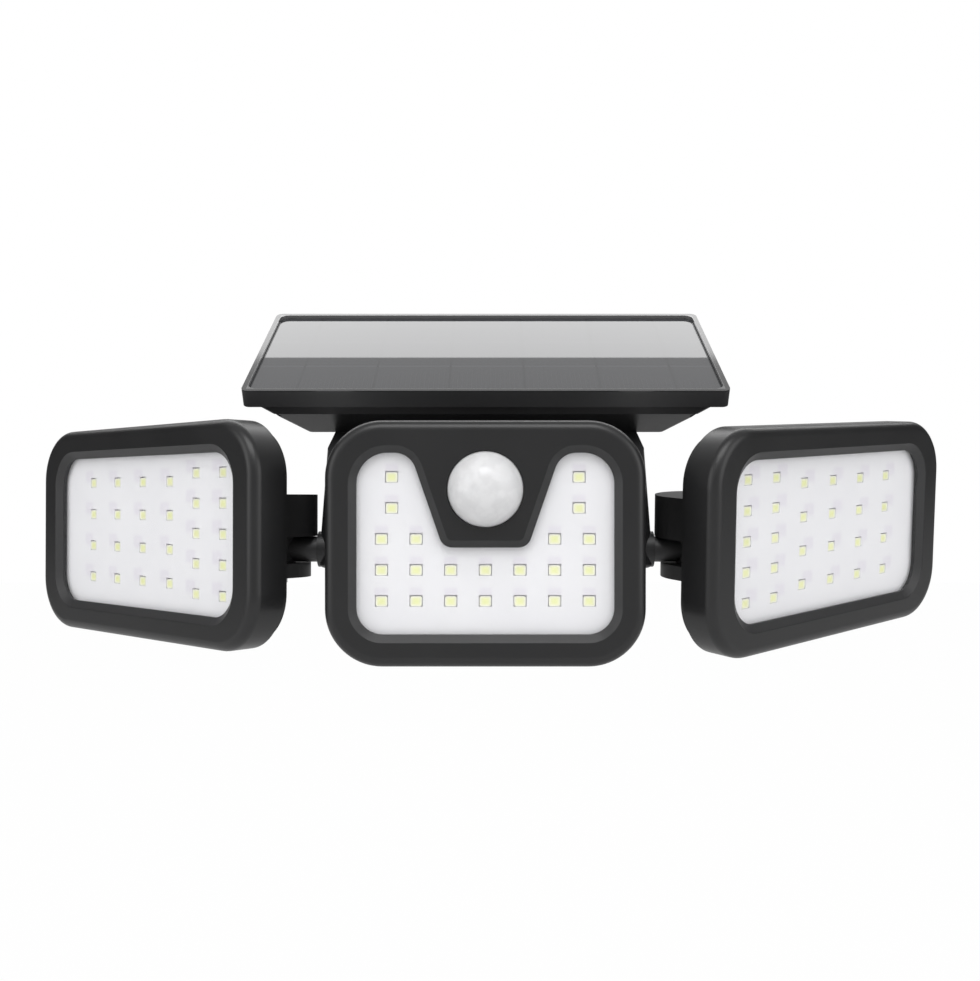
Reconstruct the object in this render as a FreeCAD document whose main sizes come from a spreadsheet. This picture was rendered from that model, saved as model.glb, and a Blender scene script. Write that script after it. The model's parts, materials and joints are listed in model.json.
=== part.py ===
"""Wall light with three lamp heads, a motion sensor and a solar panel on top.  Millimetres.

X runs to the right as seen from the front, Y runs into the wall and Z up.  The origin is the
middle of the wall plate's back face, midway between its two screw holes.

Each lamp head is drawn facing -Y in a frame of its own: y = 0 is the front of its bezel, y runs
back into the head, and x = z = 0 is the middle of its face.  It is then placed on its hinge.
"""
import FreeCAD, Part
import Sketcher
import math
import os
from FreeCAD import Placement, Rotation, Vector

SIZES = [
    # heads, seen from the front
    ("centre_width", 97.0), ("centre_height", 74.4), ("side_width", 131.8), ("side_height", 73.0),
    ("centre_corner", 17.4), ("side_corner", 18.5), ("centre_window_width", 77.8),
    ("centre_window_height", 54.8), ("side_window_width", 106.6), ("side_window_height", 52.2),
    ("centre_window_corner", 8.0), ("side_window_corner", 10.0), ("centre_band", 2.3),
    ("side_band", 2.6),
    # what is alike in all three heads, from front to back
    ("bezel_depth", 11.6), ("bezel_round", 3.2), ("bezel_wall", 2.4), ("face_thick", 2.6),
    ("window_band_depth", 1.8), ("lens_thick", 1.0), ("lens_lap", 2.0),
    ("plate_gap", 0.3), ("plate_thick", 1.4), ("plate_lap", 1.2), ("board_thick", 1.4),
    ("seal_thick", 0.6), ("seal_inset", 0.5), ("seal_width", 3.7), ("shell_inset", 2.2),
    ("shell_rim", 2.4),
    ("shell_depth", 10.2), ("shell_taper", 10.5), ("shell_wall", 2.2), ("shell_back_round", 1.4),
    ("post_radius", 2.0), ("post_from_side", 20.0), ("post_from_top", 16.0),
    # screws that close the heads
    ("boss_radius", 2.6), ("centre_boss_inset", 8.4), ("side_boss_inset", 10.2),
    ("tower_radius", 3.2), ("tower_height", 3.8),
    ("case_seat_thick", 2.0), ("case_screw_radius", 1.1), ("case_screw_grip", 5.0),
    ("case_screw_head_radius", 2.1), ("case_screw_head_height", 1.6), ("screw_well_gap", 0.35),
    ("screw_end_room", 1.0),
    # light-emitting chips and the square wells round them
    ("chip_width", 3.5), ("chip_height", 3.0), ("chip_thick", 0.8), ("well_side_gap", 0.25),
    ("well_above", 0.45), ("well_below", 0.1),
    ("centre_column_pitch", 10.5), ("centre_row_pitch", 9.4), ("centre_top_row", 20.0),
    ("upper_pair_x", 28.4), ("side_four_pitch", 16.6), ("side_five_pitch", 14.7),
    ("side_group_gap", 15.4), ("side_four_row_pitch", 11.4), ("side_five_row_pitch", 9.85),
    ("side_chips_inward", 22.6),
    # motion sensor in the centre head, on a tongue that hangs into the window
    ("tongue_bottom", 1.2), ("tongue_half_width", 12.8), ("tongue_top_half", 22.7),
    ("tongue_corner", 4.0), ("lobe_outer_corner", 9.4), ("lobe_inner_corner", 6.8),
    ("sensor_height", 16.4), ("dome_radius", 11.5), ("dome_reach", 8.6), ("dome_wall", 0.9),
    ("dome_hole_gap", 0.1), ("dome_lip_radius", 12.7), ("dome_lip_thick", 1.0),
    ("sensor_notch_radius", 14.4), ("sensor_board_radius", 12.6), ("holder_bore", 9.0),
    ("can_radius", 4.1), ("can_height", 3.6), ("can_flange_radius", 4.7),
    ("can_flange_thick", 0.5),
    # hinge of the centre head
    ("centre_face_y", -110.0), ("centre_middle_z", -16.0), ("tilt_axis_y", -82.0),
    ("tilt_axis_z", -14.0), ("tilt_lug_width", 14.0), ("tilt_lug_radius", 4.3),
    ("tilt_ear_width", 4.4), ("tilt_side_gap", 0.3), ("tilt_pin_radius", 1.6),
    ("tilt_pin_head_radius", 2.9), ("tilt_pin_head_thick", 1.2), ("pin_clearance", 0.05),
    # arms, and the knuckles that the side heads swing on
    ("arm_axis_y", -69.0), ("arm_axis_z", -19.8), ("knuckle_x", 70.7), ("arm_radius", 4.3),
    ("eye_radius", 6.4), ("eye_gap", 0.15),
    ("arm_boss_x", 56.4), ("arm_boss_radius", 6.0), ("arm_boss_length", 8.0),
    ("arm_seat_gap", 0.1), ("spigot_radius", 2.4), ("spigot_length", 13.0),
    ("spigot_nut_radius", 3.7), ("spigot_nut_thick", 2.6), ("spigot_washer_radius", 3.8),
    ("spigot_washer_thick", 0.8), ("knuckle_inward", 39.7), ("knuckle_back", 29.4),
    ("knuckle_below", 5.6), ("ear_gap", 8.9), ("upper_ear_thick", 14.0),
    ("upper_ear_radius", 13.6), ("lower_ear_thick", 4.7), ("lower_ear_radius", 11.4),
    ("ear_root", 4.0), ("knuckle_pin_radius", 2.0),
    ("knuckle_cap_radius", 3.0), ("knuckle_cap_height", 2.2), ("knuckle_nut_radius", 3.6),
    ("knuckle_nut_thick", 2.2), ("left_swing", 40.7), ("right_swing", 39.0),
    ("left_lean", -0.5), ("right_lean", 5.4),
    # housing on the wall
    ("housing_front_y", -76.0), ("housing_back_y", -1.0), ("housing_bottom_z", -26.0),
    ("housing_top_z", 62.0), ("housing_bottom_half", 56.4), ("housing_top_half", 49.6),
    ("housing_wall", 2.2), ("housing_corner", 6.0), ("shoulder_z", 12.0),
    ("floor_edge_round", 2.0), ("wall_seal_width", 3.0), ("wall_seal_inset", 1.2),
    ("wall_plate_half", 45.0), ("wall_plate_low", -20.0), ("wall_plate_high", 32.0),
    ("wall_plate_thick", 3.0), ("wall_plate_corner", 6.0), ("wall_hole_spacing", 60.0),
    ("wall_hole_radius", 2.3), ("lug_x", 36.0), ("lug_half_width", 5.0), ("lug_reach", 12.0),
    ("lug_height", 10.0), ("housing_screw_radius", 1.5), ("housing_screw_length", 8.0),
    ("housing_screw_head_radius", 2.8), ("housing_screw_head_height", 1.8),
    ("housing_screw_y", -8.0), ("lug_floor_gap", 0.3), ("lug_seal_gap", 0.2),
    ("lug_roof", 1.0),
    # battery, control board and mode button
    ("cell_radius", 9.1), ("cell_length", 65.0), ("cell_y", -40.0), ("cell_z", 4.0),
    ("cell_cap_radius", 2.9), ("cell_cap_height", 1.2), ("cradle_gap", 0.2),
    ("cradle_wall", 1.8), ("cradle_end", 3.0), ("control_width", 60.0), ("control_depth", 34.0),
    ("control_thick", 1.6), ("control_corner", 1.0),
    ("control_z", -19.0), ("control_y", -40.0), ("stand_radius", 2.4),
    ("stand_inset", 4.0), ("button_x", 18.0), ("button_y", -34.0), ("button_radius", 4.0),
    ("button_proud", 1.0), ("button_flange_radius", 5.2),
    ("button_flange_thick", 0.8), ("button_gap", 0.2), ("switch_side", 6.0),
    ("switch_height", 2.3),
    # solar panel and its tray, which leans forward over the heads
    ("tray_width", 162.0), ("tray_length", 70.6), ("tray_lean", 30.3), ("tray_edge_y", -78.2),
    ("tray_edge_z", 32.9), ("rim_thick", 6.0), ("rim_width", 1.8), ("tray_corner", 2.4),
    ("skirt_side_step", 3.4), ("skirt_end_step", 1.5), ("skirt_depth", 3.85),
    ("skirt_side_taper", 5.0), ("skirt_end_taper", 1.1), ("tub_depth", 11.95),
    ("tub_side_taper", 9.6), ("tub_end_taper", 10.1), ("notch_radius", 1.5), ("notch_x", 70.6),
    ("notch_depth", 11.4), ("notch_reach", 5.6), ("tray_floor", 2.2), ("tray_wall", 2.4),
    ("ledge_width", 4.0), ("glass_thick", 1.4), ("glass_corner", 3.2),
    ("glass_recess", 1.2), ("glass_gap", 0.2), ("cell_sheet_thick", 0.8),
    ("cell_sheet_margin", 3.0), ("tray_screw_radius", 1.4), ("tray_screw_head_radius", 2.7),
    ("tray_screw_head_height", 1.8), ("tray_screw_boss_radius", 3.4),
    ("tray_screw_grip", 6.0), ("tray_screw_x", 38.0), ("tray_screw_y", 10.0),
]

doc = FreeCAD.newDocument("sensor_wall_light")
sheet = doc.addObject("Spreadsheet::Sheet", "Sizes")
for line, (word, amount) in enumerate(SIZES, start=1):
    sheet.set(f"A{line}", word)
    sheet.set(f"B{line}", str(amount))
    sheet.setAlias(f"B{line}", word)
doc.recompute()


class Size(float):
    """A length that remembers the formula on the sheet that gives it."""

    def __new__(cls, amount, formula):
        size = super().__new__(cls, amount)
        size.formula = formula
        return size

    def __add__(self, other):
        return Size(float(self) + float(other), f"({self.formula} + {formula_of(other)})")

    def __sub__(self, other):
        return Size(float(self) - float(other), f"({self.formula} - {formula_of(other)})")

    def __mul__(self, other):
        return Size(float(self) * float(other), f"({self.formula} * {formula_of(other)})")

    def __truediv__(self, other):
        return Size(float(self) / float(other), f"({self.formula} / {formula_of(other)})")

    def __radd__(self, other):
        return Size(float(other) + float(self), f"({formula_of(other)} + {self.formula})")

    def __rsub__(self, other):
        return Size(float(other) - float(self), f"({formula_of(other)} - {self.formula})")

    def __rmul__(self, other):
        return Size(float(other) * float(self), f"({formula_of(other)} * {self.formula})")

    def __neg__(self):
        return Size(-float(self), f"(0 - {self.formula})")


def formula_of(amount):
    """The text that stands for a size or a plain number in a formula."""
    return amount.formula if isinstance(amount, Size) else repr(float(amount))


class Sheet:
    """Reads a size from the sheet by its word: size.cell_radius."""

    def __getattr__(self, word):
        return Size(sheet.get(word), f"Sizes.{word}")


size = Sheet()
parts = {}


# ---------------------------------------------------------------- sketches and features

PLANES = {"XY": "XY_Plane", "XZ": "XZ_Plane", "YZ": "YZ_Plane"}


def bind(thing, name, amount):
    """Ties one property or constraint to the formula of its size."""
    if isinstance(amount, Size):
        thing.setExpression(name, amount.formula)
    else:
        thing.setExpression(name, repr(float(amount)))


def new_body(label):
    """A part design body, which becomes the piece of that name."""
    body = doc.addObject("PartDesign::Body", label)
    body.Label = label
    parts[label] = body
    return body


def new_sketch(body, plane, level=0.0, middle=(0.0, 0.0)):
    """An empty sketch on an origin plane of its body, moved along and across that plane."""
    sketch = body.newObject("Sketcher::SketchObject", "sketch")
    role = PLANES[plane]
    origin_plane = next(f for f in body.Origin.OriginFeatures if f.Role == role)
    sketch.AttachmentSupport = [(origin_plane, "")]
    sketch.MapMode = "FlatFace"
    bind(sketch, "AttachmentOffset.Base.x", middle[0])
    bind(sketch, "AttachmentOffset.Base.y", middle[1])
    bind(sketch, "AttachmentOffset.Base.z", level)
    return sketch


def add_limits(sketch, limits):
    """Adds constraints to a sketch at once, and ties each that has a name to its size."""
    numbers = sketch.addConstraint([limit for limit, name, amount in limits])
    for number, (limit, name, amount) in zip(numbers, limits):
        if name:
            sketch.renameConstraint(number, name)
            bind(sketch, f"Constraints.{name}", amount)


def round_rectangle(body, plane, width, height, corner, level=0.0, middle=(0.0, 0.0)):
    """A sketch of a rectangle with round corners about its own middle."""
    sketch = new_sketch(body, plane, level, middle)
    half_w, half_h, turn = float(width) / 2, float(height) / 2, float(corner)
    in_w, in_h = half_w - turn, half_h - turn
    corners = [(-in_w, -half_h, in_w, -half_h), (half_w, -in_h, half_w, in_h),
               (in_w, half_h, -in_w, half_h), (-half_w, in_h, -half_w, -in_h)]
    for x1, y1, x2, y2 in corners:
        sketch.addGeometry(Part.LineSegment(Vector(x1, y1, 0), Vector(x2, y2, 0)))
    middles = [(in_w, -in_h), (in_w, in_h), (-in_w, in_h), (-in_w, -in_h)]
    for quarter, (x, y) in enumerate(middles):
        circle = Part.Circle(Vector(x, y, 0), Vector(0, 0, 1), turn)
        start = (quarter - 1) * math.pi / 2
        sketch.addGeometry(Part.ArcOfCircle(circle, start, start + math.pi / 2))
    limit = Sketcher.Constraint
    limits = []
    for side in range(4):
        limits += [(limit("Tangent", side, 2, 4 + side, 1), None, None),
                   (limit("Tangent", 4 + side, 2, (side + 1) % 4, 1), None, None),
                   (limit("Vertical" if side % 2 else "Horizontal", side), None, None)]
    limits += [(limit("Equal", 4, arc), None, None) for arc in (5, 6, 7)]
    limits += [(limit("Symmetric", 4, 3, 6, 3, -1, 1), None, None),
               (limit("DistanceX", 3, 1, 1, 1, 2 * half_w), "width", width),
               (limit("DistanceY", 0, 1, 2, 1, 2 * half_h), "height", height),
               (limit("Radius", 4, turn), "corner", corner)]
    add_limits(sketch, limits)
    return sketch


def circle_sketch(body, plane, radius, level=0.0, middle=(0.0, 0.0)):
    """A sketch of one circle about its own middle."""
    sketch = new_sketch(body, plane, level, middle)
    sketch.addGeometry(Part.Circle(Vector(0, 0, 0), Vector(0, 0, 1), float(radius)))
    add_limits(sketch, [(Sketcher.Constraint("Coincident", 0, 3, -1, 1), None, None),
                        (Sketcher.Constraint("Radius", 0, float(radius)), "radius", radius)])
    return sketch


def corner_sketch(body, plane, corners, level=0.0):
    """A sketch of a closed outline of straight sides through corners given as two sizes each."""
    sketch = new_sketch(body, plane, level)
    points = [Vector(float(x), float(y), 0) for x, y in corners]
    count = len(points)
    for index in range(count):
        sketch.addGeometry(Part.LineSegment(points[index], points[(index + 1) % count]))
    limits = []
    for index, (x, y) in enumerate(corners):
        following = (index + 1) % count
        limits += [(Sketcher.Constraint("Coincident", index, 2, following, 1), None, None),
                   (Sketcher.Constraint("DistanceX", -1, 1, index, 1, float(x)), f"x{index}", x),
                   (Sketcher.Constraint("DistanceY", -1, 1, index, 1, float(y)), f"y{index}", y)]
    add_limits(sketch, limits)
    return sketch


def feature(body, kind, sketch, length=None, backwards=False, both_ways=False, through=False):
    """A pad or pocket of a sketch."""
    made = body.newObject(f"PartDesign::{kind}", kind.lower())
    made.Profile = sketch
    sketch.Visibility = False
    if through:
        made.Type = 1
    else:
        bind(made, "Length", length)
    made.Reversed = backwards
    made.Midplane = both_ways
    made.Refine = False
    return made


def pad(body, sketch, length, **options):
    return feature(body, "Pad", sketch, length, **options)


def pocket(body, sketch, length=None, **options):
    return feature(body, "Pocket", sketch, length, through=length is None, **options)


def loft(body, kind, first, second):
    """An additive or subtractive loft with flat sides between two sketches."""
    made = body.newObject(f"PartDesign::{kind}Loft", "loft")
    made.Profile = first
    made.Sections = [second]
    made.Ruled = True
    made.Refine = False
    return made


def edges_of(base, wanted):
    """The names of the edges of a feature for which wanted(edge, its middle point) holds."""
    doc.recompute()
    names = []
    for number, edge in enumerate(base.Shape.Edges, start=1):
        middle = edge.valueAt((edge.FirstParameter + edge.LastParameter) / 2)
        if wanted(edge, middle):
            names.append(f"Edge{number}")
    return names


def dress(body, kind, base, wanted, amount):
    """A fillet or chamfer on the edges of a feature that wanted() picks."""
    base.Refine = True
    made = body.newObject(f"PartDesign::{kind}", kind.lower())
    made.Base = (base, edges_of(base, wanted))
    bind(made, "Radius" if kind == "Fillet" else "Size", amount)
    return made


def near(one, other):
    return abs(float(one) - float(other)) < 1e-4


def four_circles(body, plane, radius, across, up, level=0.0):
    """A sketch of four equal circles, mirrored left and right and above and below."""
    sketch = new_sketch(body, plane, level)
    limits = []
    for number, (side, rise) in enumerate(((1, 1), (-1, 1), (-1, -1), (1, -1))):
        x = across if side > 0 else -across
        y = up if rise > 0 else -up
        spot = Vector(float(x), float(y), 0)
        sketch.addGeometry(Part.Circle(spot, Vector(0, 0, 1), float(radius)))
        limits += [(Sketcher.Constraint("DistanceX", -1, 1, number, 3, spot.x), f"x{number}", x),
                   (Sketcher.Constraint("DistanceY", -1, 1, number, 3, spot.y), f"y{number}", y),
                   (Sketcher.Constraint("Radius", number, float(radius)), f"r{number}r", radius)]
    add_limits(sketch, limits)
    return sketch


def piece(label, shape, placement=Placement()):
    """A piece whose shape is worked out here from the sizes on the sheet."""
    made = doc.addObject("Part::Feature", label)
    made.Label = label
    made.Shape = shape
    made.Placement = placement
    parts[label] = made
    return made


def rod(radius, length, foot=Vector(0, 0, 0), along=Vector(0, 0, 1)):
    """A plain cylinder from its foot along a direction."""
    return Part.makeCylinder(float(radius), float(length), foot, along)


def headed_screw(foot, along, radius, length, head_radius, head_height):
    """A round-headed screw: the shank runs from the foot and the head sits behind the foot."""
    shank = rod(radius, length, foot, along)
    head = rod(head_radius, head_height, foot - along * float(head_height), along)
    return shank.fuse(head).removeSplitter()


def hex_nut(label, radius, thick, bore, foot, along):
    """A hexagonal nut with a plain bore, from its foot along a direction."""
    radius = float(radius)
    points = [Vector(radius * math.cos(k * math.pi / 3), radius * math.sin(k * math.pi / 3), 0)
              for k in range(7)]
    block = Part.Face(Part.makePolygon(points)).extrude(Vector(0, 0, float(thick)))
    piece(label, block.cut(rod(bore, thick)), Placement(foot, Rotation(Vector(0, 0, 1), along)))


# ---------------------------------------------------------------- levels inside a head

lens_front = size.face_thick
plate_front = size.face_thick + size.lens_thick + size.plate_gap
board_front = plate_front + size.plate_thick
board_back = board_front + size.board_thick
shell_front = size.bezel_depth + size.seal_thick
shell_back = shell_front + size.shell_depth
shell_floor = shell_back - size.shell_wall
screw_hole = size.case_screw_radius + size.pin_clearance


class Head:
    """The outline of one head and of its window."""

    def __init__(self, name, kind):
        self.name = name
        self.width = getattr(size, f"{kind}_width")
        self.height = getattr(size, f"{kind}_height")
        self.corner = getattr(size, f"{kind}_corner")
        self.window_width = getattr(size, f"{kind}_window_width")
        self.window_height = getattr(size, f"{kind}_window_height")
        self.window_corner = getattr(size, f"{kind}_window_corner")
        self.band = getattr(size, f"{kind}_band")
        boss_inset = getattr(size, f"{kind}_boss_inset")
        self.boss_x = self.width / 2 - boss_inset
        self.boss_z = self.height / 2 - boss_inset
        self.has_sensor = kind == "centre"

    def window(self, body, lap, level):
        """The plain outline that lies behind the window and laps its edge all round."""
        return round_rectangle(body, "XZ", self.window_width + 2 * lap,
                               self.window_height + 2 * lap, self.window_corner + lap, level)

    def outline(self, body, inset, level):
        """The outline of the head, drawn in by an inset."""
        return round_rectangle(body, "XZ", self.width - 2 * inset, self.height - 2 * inset,
                               self.corner - inset, level)


def cut_sensor_notch(body, head):
    """Clears a slot with a round end, from the sensor up past the top of a plate."""
    radius = size.sensor_notch_radius
    middle = (0.0, size.sensor_height)
    pocket(body, circle_sketch(body, "XZ", radius, middle=middle), both_ways=True)
    top = head.window_height
    slot = [(-radius, size.sensor_height), (radius, size.sensor_height), (radius, top),
            (-radius, top)]
    pocket(body, corner_sketch(body, "XZ", slot), both_ways=True)


def make_bezel(head):
    """The front frame: round outer edge, open back, and a sloped band round the window."""
    body = new_body(f"{head.name}_bezel")
    block = pad(body, head.outline(body, 0.0, 0.0), size.bezel_depth, backwards=True)
    dress(body, "Fillet", block, lambda edge, spot: near(spot.y, 0), size.bezel_round)
    cavity = head.outline(body, size.bezel_wall, -size.bezel_depth)
    pocket(body, cavity, size.bezel_depth - size.face_thick, backwards=True)
    half_w, half_h = head.window_width / 2, head.window_height / 2
    corners = [(-half_w, -half_h), (half_w, -half_h), (half_w, half_h), (-half_w, half_h)]
    if head.has_sensor:
        low, top = size.tongue_half_width, size.tongue_top_half
        corners[3:3] = [(top, half_h), (low, -size.tongue_bottom), (-low, -size.tongue_bottom),
                        (-top, half_h)]
    hole = pocket(body, corner_sketch(body, "XZ", corners), size.face_thick)
    round_window(body, hole, head)
    face = body.Tip
    in_window = lambda edge, spot: (near(spot.y, 0) and abs(spot.x) < float(half_w) + 0.1
                                    and abs(spot.z) < float(half_h) + 0.1)
    band = dress(body, "Chamfer", face, in_window, head.band)
    band.ChamferType = 1
    bind(band, "Size2", size.window_band_depth)
    bosses = four_circles(body, "XZ", size.boss_radius, head.boss_x, head.boss_z,
                          -size.face_thick)
    pad(body, bosses, size.bezel_depth - size.face_thick, backwards=True)
    holes = four_circles(body, "XZ", screw_hole, head.boss_x, head.boss_z, -size.bezel_depth)
    hole_depth = (size.case_screw_grip - size.case_seat_thick - size.seal_thick
                  + size.screw_end_room)
    pocket(body, holes, hole_depth, backwards=True)
    if head.has_sensor:
        eye = circle_sketch(body, "XZ", size.dome_radius + size.dome_hole_gap,
                            middle=(0.0, size.sensor_height))
        pocket(body, eye, size.face_thick)
    return body


def round_window(body, hole, head):
    """Rounds the corners of the window in plan, the sensor's tongue among them."""
    half_w, half_h = float(head.window_width / 2), float(head.window_height / 2)

    def upright(edge, spot):
        run = edge.Vertexes[0].Point - edge.Vertexes[-1].Point
        return abs(run.x) + abs(run.z) < 1e-6 and abs(run.y) > 0.1

    def at_corner(edge, spot):
        return upright(edge, spot) and near(abs(spot.x), half_w) and (
            spot.z < 0 or not head.has_sensor)

    def lobe_outer(edge, spot):
        return upright(edge, spot) and near(abs(spot.x), half_w) and spot.z > 0

    def lobe_inner(edge, spot):
        return upright(edge, spot) and near(abs(spot.x), size.tongue_top_half) and near(spot.z, half_h)

    def tongue(edge, spot):
        return upright(edge, spot) and near(spot.z, -size.tongue_bottom)

    last = dress(body, "Fillet", hole, at_corner, head.window_corner)
    if head.has_sensor:
        last = dress(body, "Fillet", last, lobe_outer, size.lobe_outer_corner)
        last = dress(body, "Fillet", last, lobe_inner, size.lobe_inner_corner)
        dress(body, "Fillet", last, tongue, size.tongue_corner)


def make_lens(head):
    """The clear window, which laps the frame from behind."""
    body = new_body(f"{head.name}_lens")
    pad(body, head.window(body, size.lens_lap, -lens_front), size.lens_thick, backwards=True)
    if head.has_sensor:
        cut_sensor_notch(body, head)
    return body


def chip_places(head):
    """Where the light chips sit, as x and z on the face of a head."""
    places = []
    if head.has_sensor:
        columns = {0: (-size.upper_pair_x, size.upper_pair_x)}
        columns[1] = columns[0]
        columns[2] = tuple(size.centre_column_pitch * k for k in (-3, -2, 2, 3))
        columns[3] = columns[4] = tuple(size.centre_column_pitch * k for k in range(-3, 4))
        for row, across in columns.items():
            z = size.centre_top_row - size.centre_row_pitch * row
            places += [(float(x), float(z)) for x in across]
        return places
    inward = 1.0 if head.name == "left" else -1.0
    for column in range(6):
        if column < 4:
            outward = size.side_group_gap / 2 + size.side_four_pitch * (3 - column)
            rows, pitch = 4, size.side_four_row_pitch
        else:
            outward = -(size.side_group_gap / 2) - size.side_five_pitch * (column - 4)
            rows, pitch = 5, size.side_five_row_pitch
        x = -inward * (outward - size.side_chips_inward)
        places += [(float(x), float(pitch * ((rows - 1) / 2 - row))) for row in range(rows)]
    return places


def chip_blocks(head, front, depth, beside=0.0, above=0.0, below=0.0):
    """A block at each chip, grown by a gap on both sides, one above and one below."""
    width = float(size.chip_width + 2 * beside)
    below = float(size.chip_height / 2 + below)
    height = below + float(size.chip_height / 2 + above)
    corners = [Vector(x - width / 2, float(front), z - below) for x, z in chip_places(head)]
    return Part.makeCompound([Part.makeBox(width, float(depth), height, c) for c in corners])


def make_plate_and_chips(head):
    """The white plate, pierced by a square well at each chip, and the chips themselves."""
    blank = new_body(f"{head.name}_plate_blank")
    pad(blank, head.window(blank, size.plate_lap, -plate_front), size.plate_thick, backwards=True)
    if head.has_sensor:
        cut_sensor_notch(blank, head)
    doc.recompute()
    del parts[blank.Label]
    wells = chip_blocks(head, plate_front, size.plate_thick, size.well_side_gap,
                        size.well_above, size.well_below)
    piece(f"{head.name}_reflector", blank.Shape.cut(wells))
    chips = chip_blocks(head, board_front - size.chip_thick, size.chip_thick)
    piece(f"{head.name}_chips", chips)


def make_board(head):
    """The circuit board that carries the chips, behind the white plate."""
    body = new_body(f"{head.name}_board")
    pad(body, head.window(body, size.plate_lap, -board_front), size.board_thick, backwards=True)
    if head.has_sensor:
        cut_sensor_notch(body, head)
    return body


def make_seal(head):
    """The flat ring between the bezel and the rear shell."""
    body = new_body(f"{head.name}_seal")
    level = -size.bezel_depth
    inset = size.shell_inset + size.seal_inset
    pad(body, head.outline(body, inset, level), size.seal_thick, backwards=True)
    inner = head.outline(body, inset + size.seal_width, level)
    pocket(body, inner, size.seal_thick * 3, both_ways=True)
    holes = four_circles(body, "XZ", screw_hole, head.boss_x, head.boss_z, level)
    pocket(body, holes, size.seal_thick * 3, both_ways=True)
    return body


def make_rear_shell(head):
    """The back of a head: a rim, a tapered tub, posts that carry the board and screw towers."""
    body = new_body(f"{head.name}_rear_shell")
    rim_back = shell_front + size.shell_rim
    far_inset = size.shell_inset + size.shell_taper
    inset = size.shell_inset
    pad(body, head.outline(body, inset, -shell_front), size.shell_rim, backwards=True)
    loft(body, "Additive", head.outline(body, inset, -rim_back),
         head.outline(body, far_inset, -shell_back))
    dress(body, "Fillet", body.Tip, lambda edge, spot: at_back(edge, spot, head),
          size.shell_back_round)
    if not head.has_sensor:
        make_ears(body, head)
    wall = size.shell_wall
    loft(body, "Subtractive", head.outline(body, inset + wall, -shell_front),
         head.outline(body, far_inset + wall, -shell_floor))
    towers = four_circles(body, "XZ", size.tower_radius, head.boss_x, head.boss_z, -shell_front)
    pad(body, towers, size.tower_height, backwards=True)
    wells = four_circles(body, "XZ", size.case_screw_head_radius + size.screw_well_gap,
                         head.boss_x, head.boss_z, -(shell_front + size.case_seat_thick))
    pocket(body, wells, size.shell_depth, backwards=False)
    holes = four_circles(body, "XZ", screw_hole, head.boss_x, head.boss_z, -shell_front)
    pocket(body, holes, size.shell_depth)
    posts = four_circles(body, "XZ", size.post_radius, head.width / 2 - size.post_from_side,
                         head.height / 2 - size.post_from_top, -board_back)
    pad(body, posts, shell_floor - board_back, backwards=True)
    if head.has_sensor:
        post = circle_sketch(body, "XZ", size.post_radius, -board_back, (0.0, size.sensor_height))
        pad(body, post, shell_floor - board_back, backwards=True)
        make_tilt_lug(body)
    return body


def at_back(edge, spot, head):
    """Whether an edge belongs to the outline of the flat back of the shell."""
    far_inset = size.shell_inset + size.shell_taper
    half_w, half_h = float(head.width / 2 - far_inset), float(head.height / 2 - far_inset)
    corner = float(head.corner - far_inset)
    on_side = near(abs(spot.x), half_w) or near(abs(spot.z), half_h)
    on_corner = abs(spot.x) > half_w - corner and abs(spot.z) > half_h - corner
    flat = all(near(vertex.Point.y, shell_back) for vertex in edge.Vertexes)
    return near(spot.y, shell_back) and flat and (on_side or on_corner)


def make_case_screws(head):
    """The four screws that close a head from behind."""
    seat = float(shell_front + size.case_seat_thick)
    screws = []
    for side, rise in ((1, 1), (-1, 1), (-1, -1), (1, -1)):
        foot = Vector(side * float(head.boss_x), seat, rise * float(head.boss_z))
        screws.append(headed_screw(foot, Vector(0, -1, 0), size.case_screw_radius,
                                   size.case_screw_grip, size.case_screw_head_radius,
                                   size.case_screw_head_height))
    piece(f"{head.name}_case_screws", Part.makeCompound(screws))


# ---------------------------------------------------------------- sensor and hinge of the centre head

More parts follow.
